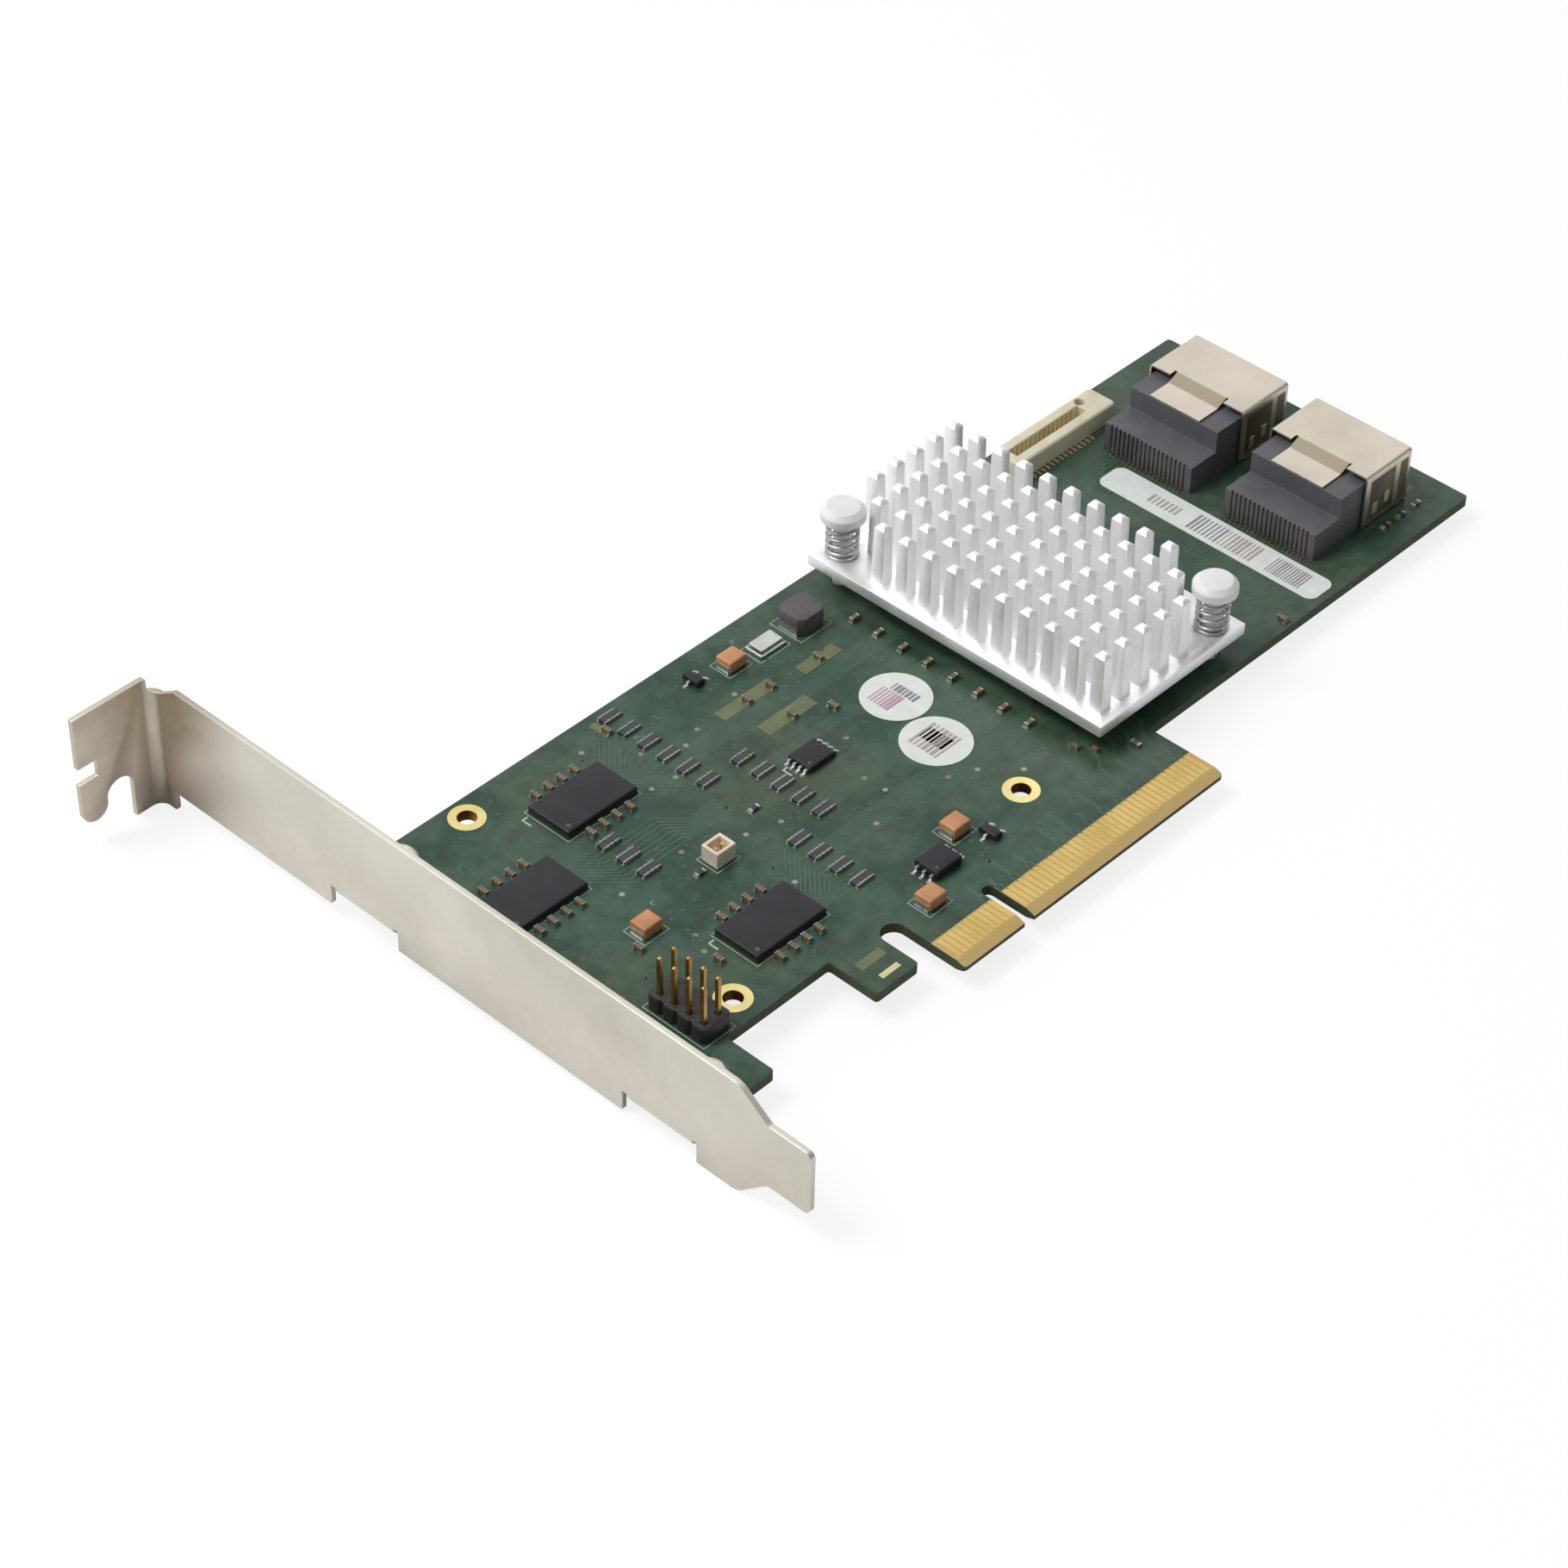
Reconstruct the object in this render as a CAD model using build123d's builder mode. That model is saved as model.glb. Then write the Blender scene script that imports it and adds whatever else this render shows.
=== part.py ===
from build123d import *
import os

# Raid controller card: a low-profile circuit board on a folded steel bracket, with a pin-fin heat
# sink held down by two sprung push pins, and two caged cable connectors near its rear edge.
# Millimetres. X runs along the card from the bracket's outer face to the rear edge, Y from the
# tip of the gold fingers to the top edge, and Z up from the component face of the board.

# Circuit board
board_thickness = 1.57
board_length = 167.65
card_height = 68.9
lower_edge = 12.8
tab_bottom = 4.5
front_tab_width = 12.55
middle_tab_start = 31.31
middle_tab_width = 7.9
finger_slot_width = 3.74
finger_slot_end = 12.3
tongue_width = 52.2
key_width = 1.9
key_end = 8.0
tip_bevel_length = 1.4
tip_bevel_drop = 0.45
board_corner_radius = 0.5

# Gold contact pads
pad_pitch = 1.0
pad_width = 0.7
pad_margin = 0.2
pad_length = 4.0
pad_thickness = 0.05
pads_before_key = 11
pads_after_key = 38
key_to_pad = 1.5
tongue_margin = 1.1

# Plated holes
mounting_bore_radius = 1.4
mounting_ring_radius = 2.6
plating = 0.05
mounting_inset_x = 18.15
mounting_inset_top = 3.3
mounting_rise_low = 4.2
mounting_share = 0.3699

# Folded bracket
sheet = 0.86
board_gap = 1.49
strip_low = -4.4
strip_width = 18.42
strip_drop = 15.3
tongue_low_inset = 4.6
bracket_tongue_width = 10.2
tongue_root = 8.4
shoulder = 3.4
shoulder_radius = 3.0
root_radius = 1.2
tongue_corner_radius = 1.0
tab_height = 104.7
tab_reach = 13.0
tab_low = -7.6
tab_high = 14.1
fold_radius = 1.6
fold_relief = 2.0
fold_relief_rise = 3.1
flare_drop = 3.7
screw_slot_width = 4.4
screw_slot_start = 4.4
screw_slot_end = 0.4
finger_low = -4.3
guide_notch_width = 2.8
guide_notch_depth = 3.2
guide_notch_low = 2.9
ear_width = 11.2
ear_reach = 12.0
ear_bend_radius = 0.5
ear_relief = 0.8
ear_corner_radius = 2.0
lower_ear_start = 4.3
ear_hole_setback = 4.0
upper_ear_hole_drop = 3.7
lower_ear_hole_rise = 5.0

# Bracket screws
screw_radius = 1.45
screw_fit = 0.1
screw_head_radius = 2.7
screw_head_height = 1.9
screw_head_slope = 0.7
screw_tail = 1.0
cross_width = 0.7
cross_length = 3.0
cross_depth = 1.0
screw_ring_radius = 3.0

# Controller and heat sink
heat_sink_share = 0.5579
heat_sink_length = 31.0
heat_sink_top_gap = 1.1
heat_sink_low_gap = 1.4
heat_sink_base = 1.8
substrate_size = 27.0
substrate_height = 1.1
lid_size = 24.0
lid_height = 1.3
lid_corner = 1.5
thermal_pad_height = 0.6
fin_pitch_x = 4.1
fin_pitch_y = 4.4
fin_x = 2.1
fin_y = 2.25
fin_margin = 0.5
fin_shift = (-0.2, 0.2)
fin_taper = 1.0
fin_point = 0.5
fin_height = 9.6

# Push pins and their springs
push_pin_inset_x = 3.7
push_pin_inset_y = 3.1
push_pin_clear = 5.0
push_pin_shaft = 1.35
push_pin_fit = 0.2
push_pin_cap_radius = 3.25
push_pin_cap_rim = 1.2
push_pin_cap_height = 2.0
push_pin_cap_slope = 0.8
push_pin_barb = 1.9
push_pin_barb_gap = 0.1
push_pin_tip_radius = 0.8
push_pin_tip_length = 2.6
push_pin_slit = 0.6
push_pin_slit_length = 5.0
spring_radius = 2.25
spring_wire = 0.25
spring_length = 6.2
spring_pitch = 1.5
spring_seat_gap = 0.02

# Memory chips
memory_length = 12.8
memory_width = 7.6
memory_height = 1.2
memory_edge = 0.15

# Cable connectors with metal cages
cage_low_share = 0.391
cage_gap_share = 0.3141
cage_setback = 7.0
cage_length = 10.5
cage_width = 17.6
cage_height = 9.3
cage_sheet = 0.3
cage_corner = 0.6
cage_tab_width = 9.2
cage_tab_slit = 0.4
cage_tab_slope = 2.2
cage_tab_set_in = 1.3
cage_tab_reach = 4.1
cage_leg_width = 1.2
cage_leg_inset = 2.0
cage_leg_drop = 2.2
leg_clearance = 0.1
housing_width = 16.2
housing_low_length = 5.5
housing_low_height = 4.5
housing_tall_length = 5.0
housing_tall_height = 8.0
housing_clearance = 0.05
housing_insert = 5.5
cable_slot_width = 15.0
cable_slot_height = 1.8
cable_slot_depth = 6.0
cable_slot_rise = 4.6
contact_count = 18
contact_pitch = 0.8
contact_width = 0.3
contact_thickness = 0.15
contact_blade = 5.0
groove_width = 0.4
groove_depth = 0.3
contact_foot = 1.0
contact_rise = 4.2

# Battery connector
battery_share = 0.7826
battery_top_share = 0.1346
battery_length = 22.0
battery_width = 5.3
battery_height = 3.2
battery_corner = 0.8
battery_edge = 0.3
battery_slot_length = 15.6
battery_slot_width = 1.8
battery_slot_depth = 2.3
battery_slot_shift = 1.6
battery_peg_radius = 0.8
battery_peg_inset_x = 3.9
battery_peg_shift_y = 1.25
battery_contact_count = 14
battery_contact_pitch = 1.0
battery_contact_width = 0.4
battery_contact_thickness = 0.15
battery_contact_foot = 1.0

# Pin header
header_x = 11.95
header_y = 18.7
header_pitch = 2.54
header_rows = 2
header_columns = 4
header_base_height = 2.5
header_corner = 0.5
header_pin = 0.64
header_pin_top = 8.5
header_pin_tail = 1.3
header_pin_point = 0.25
header_pin_fit = 0.03
header_hole_radius = 0.5
header_hole_sides = 12

# Labels
label_thickness = 0.08
strip_label_width = 5.6
strip_label_low_gap = 1.2
strip_label_end_gap = 7.9
strip_label_side_gap = 0.8
strip_label_radius = 1.5
round_label_radius = 5.1
round_label_gap = 4.95
round_label_step = (3.1, 10.1)

# Leaded chips
lead_width = 0.4
lead_thickness = 0.2
lead_foot = 0.6
lead_reach = 1.1
chip_edge = 0.12
supervisor_length = 5.0
supervisor_width = 4.0
supervisor_height = 1.0
regulator_length = 4.9
regulator_width = 3.9
regulator_height = 1.5
transistor_length = 2.9
transistor_width = 1.4
transistor_height = 1.0
chip_standoff = 0.1
supervisor_lead_pitch = 1.0
supervisor_leads_a_side = 4
regulator_lead_pitch = 1.27
regulator_leads_a_side = 3
transistor_lead_pitch = 0.95
memory_capacitors = 4
memory_capacitor_pitch = 2.4
memory_capacitor_gap = 0.6
sink_capacitors = 8
sink_capacitor_pitch = 4.6
sink_capacitor_gap = 1.8

# Chip capacitors, resistors and other small parts
capacitor_length = 1.6
capacitor_width = 0.8
capacitor_height = 0.8
capacitor_end = 0.3
capacitor_wrap = 0.03
resistor_length = 1.6
resistor_width = 0.8
resistor_height = 0.45
resistor_end = 0.3
resistor_wrap = 0.03
array_length = 3.2
array_width = 1.6
array_height = 0.5
array_end = 0.3
array_pitch = 3.7
tantalum_length = 3.5
tantalum_width = 2.8
tantalum_height = 1.9
tantalum_edge = 0.2
tantalum_terminal = 0.3
tantalum_terminal_width = 2.2
inductor_length = 5.5
inductor_width = 5.0
inductor_height = 3.0
inductor_corner = 0.8
inductor_terminal = 0.5
inductor_terminal_height = 1.2
crystal_length = 5.0
crystal_width = 3.2
crystal_height = 1.2
crystal_flange = 0.3
crystal_flange_height = 0.5
led_header_length = 3.5
led_header_width = 3.0
led_header_height = 2.6
led_header_wall = 0.5
led_header_floor = 0.8
led_pin = 0.4
led_pin_pitch = 1.25
led_pin_top = 2.2

# Levels and edges worked out from the sizes above
corner = (Align.MIN, Align.MIN)
underside = -board_thickness
board_front = sheet + board_gap
board_rear = board_front + board_length
board_width = card_height - lower_edge
middle_tab_x = board_front + middle_tab_start
finger_slot_x = middle_tab_x + middle_tab_width
finger_slot_radius = finger_slot_width / 2
tongue_x = finger_slot_x + finger_slot_width
pad_start = tip_bevel_length + pad_margin
pad_middle = pad_start + pad_length / 2
first_pads = (pads_before_key - 1) * pad_pitch
last_pads = (pads_after_key - 1) * pad_pitch
key_x = tongue_x + tongue_margin + first_pads + key_to_pad
strip_high = strip_low + strip_width
strip_bottom = -strip_drop
tongue_low = strip_low + tongue_low_inset
tongue_high = tongue_low + bracket_tongue_width
ear_centre_z = underside - sheet / 2
ear_fold_z = underside + ear_bend_radius
ear_underside = underside - sheet
upper_ear_y = card_height - ear_width / 2
lower_ear_y = lower_ear_start + ear_width / 2
ear_hole_x = ear_reach - ear_hole_setback
ear_spots = [
    (ear_hole_x, card_height - upper_ear_hole_drop),
    (ear_hole_x, lower_ear_start + lower_ear_hole_rise),
]
lid_base = substrate_height
pad_base = lid_base + lid_height
sink_base = pad_base + thermal_pad_height
sink_deck = sink_base + heat_sink_base
mounting_x = board_front + mounting_inset_x


# A place along the board, as a share of its length behind the front mounting holes
def along(share):
    return mounting_x + share * (board_rear - mounting_x)


# A place across the board, as a share of its width above the lower edge
def across(share):
    return lower_edge + share * board_width


mounting_spots = [
    (mounting_x, card_height - mounting_inset_top),
    (mounting_x, lower_edge + mounting_rise_low),
    (along(mounting_share), lower_edge + mounting_rise_low),
]
heat_sink_x = along(heat_sink_share)
heat_sink_y = (lower_edge + heat_sink_low_gap + card_height - heat_sink_top_gap) / 2
heat_sink_width = board_width - heat_sink_low_gap - heat_sink_top_gap
heat_sink_front = heat_sink_x - heat_sink_length / 2
sink_spot = (heat_sink_x, heat_sink_y)
fin_columns = 1 + int((heat_sink_length - fin_x - 2 * fin_margin) / fin_pitch_x)
fin_rows = 1 + int((heat_sink_width - fin_y - 2 * fin_margin) / fin_pitch_y)
push_pin_offset_x = heat_sink_length / 2 - push_pin_inset_x
push_pin_offset_y = heat_sink_width / 2 - push_pin_inset_y
push_pin_spots = {
    "upper": (heat_sink_x - push_pin_offset_x, heat_sink_y + push_pin_offset_y),
    "lower": (heat_sink_x + push_pin_offset_x, heat_sink_y - push_pin_offset_y),
}
cap_underside = sink_deck + spring_length
cage_rear = board_rear - cage_setback
cage_front = cage_rear - cage_length
low_front = cage_front - housing_tall_length - housing_low_length
# The two cages and the battery connector share the board's width at its rear
rear_free_width = board_width - 2 * cage_width - battery_width
cage_low_gap = cage_low_share * rear_free_width
lower_cage_y = lower_edge + cage_low_gap + cage_width / 2
connector_centres = {
    "upper": lower_cage_y + cage_width + cage_gap_share * rear_free_width,
    "lower": lower_cage_y,
}
battery_x = along(battery_share)
battery_y = card_height - battery_top_share * rear_free_width - battery_width / 2
strip_label_x = low_front - contact_foot - strip_label_side_gap - strip_label_width / 2
strip_label_low = lower_edge + strip_label_low_gap
strip_label_length = battery_y - battery_width / 2 - strip_label_end_gap - strip_label_low
leg_spots = [
    (leg_x, centre + side * (cage_width - cage_sheet) / 2)
    for centre in connector_centres.values()
    for side in (-1, 1)
    for leg_x in (cage_front + cage_leg_inset, cage_rear - cage_leg_inset)
]
header_spot = (board_front + header_x, header_y)

# Places of the small parts, which follow the board's edges and the larger parts
memory_spots = {
    "upper": (along(0.0853), across(0.7843)),
    "front": (board_front + 13.2, across(0.631)),
    "lower": (along(0.0873), across(0.18)),
}
upper_label_x = heat_sink_front - round_label_gap - round_label_radius
upper_label_y = across(0.5169)
round_label_spots = {
    "upper": (upper_label_x, upper_label_y),
    "lower": (upper_label_x - round_label_step[0], upper_label_y - round_label_step[1]),
}
supervisor_spot = (along(0.2706), across(0.508))
regulator_spot = (along(0.2438), lower_edge + 2.2)
transistor_spots = [
    (along(0.306), lower_edge + 1.3),
    (along(0.2732), card_height - 5.1),
]
tantalum_spots = [
    (along(0.3147), card_height - 6.3),
    (along(0.288), lower_edge + 5.2),
    (tongue_x + 5.75, lower_edge - 1.7),
    (board_front + 19.4, across(0.3708)),
]
inductor_spot = (along(0.4043), card_height - 6.9)
crystal_spot = (along(0.3555), card_height - 7.0)
led_header_spot = (along(0.1167), across(0.4207))
# Resistor arrays stand in rows: two between the board's edges, one beside them, one by the memory
top_row_y = card_height - 11.6
low_row_y = lower_edge + 13.0
array_rows = {
    (along(0.1836), top_row_y): 6,
    (along(0.1836), low_row_y): 4,
    (along(0.2271), across(0.4938)): 5,
    (along(0.0632), memory_spots["upper"][1] - 11.8): 3,
}
loose_capacitor_spots = [
    (along(0.2873), card_height - 13.2),
    (along(0.3013), card_height - 19.7),
    (along(0.3776), card_height - 13.9),
    (along(0.3174), card_height - 13.4),
    (upper_label_x - 7.6, upper_label_y + 4.6),
    (along(0.1676), card_height - 4.2),
    (along(0.0244), lower_edge + 10.2),
    (board_front + 16.2, lower_edge + 18.9),
    (along(0.7227), lower_edge + 1.6),
]
rear_resistor_y = lower_edge + 0.69 * cage_low_gap
loose_resistor_spots = [
    (board_rear - 5.0, lower_edge + 8.7),
    (board_rear - 7.0, rear_resistor_y),
    (board_rear - 10.6, rear_resistor_y),
    (board_rear - 14.2, rear_resistor_y),
    (along(0.0913), across(0.4135)),
    (along(0.1849), (top_row_y + low_row_y) / 2 - array_pitch / 2),
]

os.makedirs("parts", exist_ok=True)

# Circuit board: one routed blank with its fingers bevelled on both faces
with BuildPart() as circuit_board:
    with BuildSketch(Plane.XY.offset(underside)) as board_outline:
        with Locations((board_front, lower_edge)):
            Rectangle(board_length, card_height - lower_edge, align=corner)
        with Locations((board_front, tab_bottom)):
            Rectangle(front_tab_width, lower_edge - tab_bottom, align=corner)
        with Locations((middle_tab_x, tab_bottom)):
            Rectangle(middle_tab_width, lower_edge - tab_bottom, align=corner)
        with Locations((tongue_x, 0)):
            Rectangle(tongue_width, lower_edge, align=corner)
        fillet(board_outline.vertices(), board_corner_radius)
        # The slot beside the fingers ends in a full round
        with Locations((finger_slot_x, finger_slot_end - finger_slot_radius)):
            Rectangle(
                finger_slot_width, lower_edge - finger_slot_end + finger_slot_radius, align=corner
            )
        with Locations((finger_slot_x + finger_slot_radius, finger_slot_end - finger_slot_radius)):
            Circle(finger_slot_radius, mode=Mode.SUBTRACT)
        # The key between the two groups of fingers
        with Locations((key_x, 0)):
            Rectangle(key_width, 2 * key_end - key_width, mode=Mode.SUBTRACT)
        with Locations((key_x, key_end - key_width / 2)):
            Circle(key_width / 2, mode=Mode.SUBTRACT)
        with Locations(*mounting_spots):
            Circle(mounting_bore_radius, mode=Mode.SUBTRACT)
        with Locations(*ear_spots):
            Circle(screw_radius + screw_fit, mode=Mode.SUBTRACT)
        with Locations(*push_pin_spots.values()):
            Circle(push_pin_shaft + push_pin_fit, mode=Mode.SUBTRACT)
        with Locations(header_spot):
            with GridLocations(header_pitch, header_pitch, header_rows, header_columns):
                RegularPolygon(header_hole_radius, header_hole_sides, mode=Mode.SUBTRACT)
        with Locations(*leg_spots):
            Rectangle(
                cage_leg_width + 2 * leg_clearance, cage_sheet + 2 * leg_clearance, mode=Mode.SUBTRACT
            )
    extrude(amount=board_thickness)
    with BuildSketch(Plane.YZ.offset(tongue_x - 1)):
        for face_z, outward in ((0, 1), (underside, -1)):
            Polygon(
                (tip_bevel_length, face_z),
                (0, face_z - outward * tip_bevel_drop),
                (-1, face_z - outward * tip_bevel_drop),
                (-1, face_z + outward),
                (tip_bevel_length, face_z + outward),
                align=None,
            )
    extrude(amount=tongue_width + 2, mode=Mode.SUBTRACT)
circuit_board.part.label = "circuit_board"
export_step(circuit_board.part, "parts/circuit_board.step")

# Edge contacts: two groups of gold pads on each face of the tongue
with BuildPart() as edge_contacts:
    for pad_plane in (Plane.XY, Plane.XY.offset(underside - pad_thickness)):
        with BuildSketch(pad_plane):
            with Locations((key_x - key_to_pad - first_pads / 2, pad_middle)):
                with GridLocations(pad_pitch, 0, pads_before_key, 1):
                    Rectangle(pad_width, pad_length)
            with Locations((key_x + key_to_pad + last_pads / 2, pad_middle)):
                with GridLocations(pad_pitch, 0, pads_after_key, 1):
                    Rectangle(pad_width, pad_length)
        extrude(amount=pad_thickness)
edge_contacts.part.label = "edge_contacts"
export_step(edge_contacts.part, "parts/edge_contacts.step")

# Mounting hole rings: bare copper round the bore on each face
with BuildPart() as mounting_hole_rings:
    for ring_plane in (Plane.XY, Plane.XY.offset(underside - plating)):
        with BuildSketch(ring_plane):
            with Locations(*mounting_spots):
                Circle(mounting_ring_radius)
                Circle(mounting_bore_radius, mode=Mode.SUBTRACT)
        extrude(amount=plating)
mounting_hole_rings.part.label = "mounting_hole_rings"
export_step(mounting_hole_rings.part, "parts/mounting_hole_rings.step")

# Bracket hole rings: bare copper under the two screw heads
with BuildPart() as bracket_hole_rings:
    with BuildSketch():
        with Locations(*ear_spots):
            Circle(screw_ring_radius)
            Circle(screw_radius + screw_fit, mode=Mode.SUBTRACT)
    extrude(amount=plating)
bracket_hole_rings.part.label = "bracket_hole_rings"
export_step(bracket_hole_rings.part, "parts/bracket_hole_rings.step")

# Bracket: one folded sheet, with its tab turned outwards and two ears turned under the board
with BuildPart() as bracket:
    with BuildSketch(Plane.XY.offset(tab_low)):
        with BuildLine():
            FilletPolyline(
                (sheet / 2, strip_bottom),
                (sheet / 2, tab_height - sheet / 2),
                (-tab_reach, tab_height - sheet / 2),
                radius=fold_radius + sheet / 2,
            )
        trace(line_width=sheet)
    extrude(amount=tab_high - tab_low)
    # The outline of the strip, with its insertion tongue below and the flare of the tab above
    flare_start = tab_height - flare_drop
    with BuildSketch(Plane.YZ):
        with BuildLine():
            FilletPolyline(
                (strip_bottom, tongue_low),
                (-tongue_root, tongue_low),
                (-shoulder, strip_low),
                (flare_start, strip_low),
                (flare_start, tab_low),
                (tab_height + 1, tab_low),
                (tab_height + 1, tab_high),
                (flare_start, tab_high),
                (flare_start, strip_high),
                (-shoulder, strip_high),
                (-tongue_root, tongue_high),
                (strip_bottom, tongue_high),
                close=True,
                radius=[
                    tongue_corner_radius,
                    root_radius,
                    shoulder_radius,
                    0,
                    0,
                    0,
                    0,
                    0,
                    0,
                    shoulder_radius,
                    root_radius,
                    tongue_corner_radius,
                ],
            )
        make_face()
    extrude(amount=tab_reach + 1, both=True, mode=Mode.INTERSECT)
    # The fold is narrowed from its upper side
    with BuildSketch(Plane.YZ.offset(-fold_radius / 2)):
        Polygon(
            (tab_height - sheet - fold_radius - fold_relief_rise, strip_high + 1),
            (tab_height - sheet - fold_radius - fold_relief_rise, strip_high),
            (tab_height - sheet - fold_radius, strip_high - fold_relief),
            (tab_height + 1, strip_high - fold_relief),
            (tab_height + 1, strip_high + 1),
            align=None,
        )
    extrude(amount=fold_radius + sheet, mode=Mode.SUBTRACT)
    # The outline of the tab: screw slot, rounded finger and guide notch
    slot_far = screw_slot_start + screw_slot_width
    slot_radius = screw_slot_width / 2
    finger_radius = (tab_reach - slot_far) / 2
    with BuildSketch(Plane.XZ.offset(-tab_height)):
        with Locations((-screw_slot_start - slot_radius, screw_slot_end - slot_radius)):
            Circle(slot_radius)
        with Locations((-slot_far, tab_low - 1)):
            Rectangle(screw_slot_width, screw_slot_end - slot_radius - tab_low + 1, align=corner)
        with Locations((-tab_reach - 1, tab_low - 1)):
            Rectangle(
                tab_reach + 1 - slot_far, finger_low + finger_radius - tab_low + 1, align=corner
            )
        with Locations((-slot_far - finger_radius, finger_low + finger_radius)):
            Circle(finger_radius, mode=Mode.SUBTRACT)
        with Locations((-tab_reach - 1, guide_notch_low)):
            Rectangle(guide_notch_depth + 1, guide_notch_width, align=corner)
    extrude(amount=sheet + fold_radius, mode=Mode.SUBTRACT)
    # Two ears fold under the board from notches in the strip's lower edge
    with BuildSketch(Plane.YZ.offset(-sheet)):
        with Locations((upper_ear_y, ear_fold_z), (lower_ear_y, ear_fold_z)):
            Rectangle(
                ear_width + 2 * ear_relief, ear_fold_z - tab_low, align=(Align.CENTER, Align.MAX)
            )
    extrude(amount=3 * sheet, mode=Mode.SUBTRACT)
    for ear_y in (upper_ear_y, lower_ear_y):
        with BuildSketch(Plane.XZ.offset(-ear_y - ear_width / 2)):
            with BuildLine():
                FilletPolyline(
                    (sheet / 2, 0),
                    (sheet / 2, ear_centre_z),
                    (ear_reach, ear_centre_z),
                    radius=ear_bend_radius + sheet / 2,
                )
            trace(line_width=sheet)
        extrude(amount=ear_width)
    fillet(bracket.edges().filter_by(Axis.Z).sort_by(Axis.X)[-4:], ear_corner_radius)
    with BuildSketch(Plane.XY.offset(ear_underside)):
        with Locations(*ear_spots):
            Circle(screw_radius + screw_fit)
    extrude(amount=sheet, mode=Mode.SUBTRACT)
bracket.part.label = "bracket"
export_step(bracket.part, "parts/bracket.step")

# Bracket screws: pan heads with a cross recess, threaded into the ears
with BuildPart() as bracket_screws:
    with BuildSketch(Plane.XY.offset(plating)):
        with Locations(*ear_spots):
            Circle(screw_head_radius)
    extrude(amount=screw_head_height)
    chamfer(bracket_screws.edges().group_by(Axis.Z)[-1], screw_head_slope)
    with BuildSketch(Plane.XY.offset(plating + screw_head_height)):
        with Locations(*ear_spots):
            Rectangle(cross_width, cross_length)
            Rectangle(cross_length, cross_width)
    extrude(amount=-cross_depth, mode=Mode.SUBTRACT)
    with BuildSketch(Plane.XY.offset(plating)):
        with Locations(*ear_spots):
            Circle(screw_radius)
    extrude(amount=ear_underside - screw_tail - plating)
bracket_screws.part.label = "bracket_screws"
export_step(bracket_screws.part, "parts/bracket_screws.step")

# Controller: a square substrate, its metal lid, and the thermal pad under the heat sink
with BuildPart() as controller_substrate:
    with BuildSketch():
        with Locations(sink_spot):
            Rectangle(substrate_size, substrate_size)
    extrude(amount=substrate_height)
controller_substrate.part.label = "controller_substrate"
export_step(controller_substrate.part, "parts/controller_substrate.step")

with BuildPart() as controller_lid:
    with BuildSketch(Plane.XY.offset(lid_base)) as lid_outline:
        with Locations(sink_spot):
            Rectangle(lid_size, lid_size)
        chamfer(lid_outline.vertices(), lid_corner)
    extrude(amount=lid_height)
controller_lid.part.label = "controller_lid"
export_step(controller_lid.part, "parts/controller_lid.step")

with BuildPart() as thermal_pad:
    with BuildSketch(Plane.XY.offset(pad_base)):
        with Locations(sink_spot):
            Rectangle(lid_size - 2 * lid_corner, lid_size - 2 * lid_corner)
    extrude(amount=thermal_pad_height)
thermal_pad.part.label = "thermal_pad"
export_step(thermal_pad.part, "parts/thermal_pad.step")

# Heat sink: a base with pointed fins, left out where the push pins stand
fin_grid = GridLocations(fin_pitch_x, fin_pitch_y, fin_columns, fin_rows)
push_pin_offsets = [
    Vector(-push_pin_offset_x, push_pin_offset_y),
    Vector(push_pin_offset_x, -push_pin_offset_y),
]
fin_places = [
    place
    for place in fin_grid
    if all((place.position - offset).length > push_pin_clear for offset in push_pin_offsets)
]
with BuildPart() as fin:
    with BuildSketch(Plane.XY.offset(sink_deck)):
        Rectangle(fin_x, fin_y)
    extrude(amount=fin_height, taper=fin_taper)
    chamfer(fin.edges().group_by(Axis.Z)[-1], fin_point)
with BuildPart() as heat_sink:
    with BuildSketch(Plane.XY.offset(sink_base)):
        with Locations(sink_spot):
            Rectangle(heat_sink_length, heat_sink_width)
        with Locations(*push_pin_spots.values()):
            Circle(push_pin_shaft + push_pin_fit, mode=Mode.SUBTRACT)
    extrude(amount=heat_sink_base)
    with Locations((heat_sink_x + fin_shift[0], heat_sink_y + fin_shift[1])):
        with Locations(*fin_places):
            add(fin.part)
heat_sink.part.label = "heat_sink"
export_step(heat_sink.part, "parts/heat_sink.step")

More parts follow.
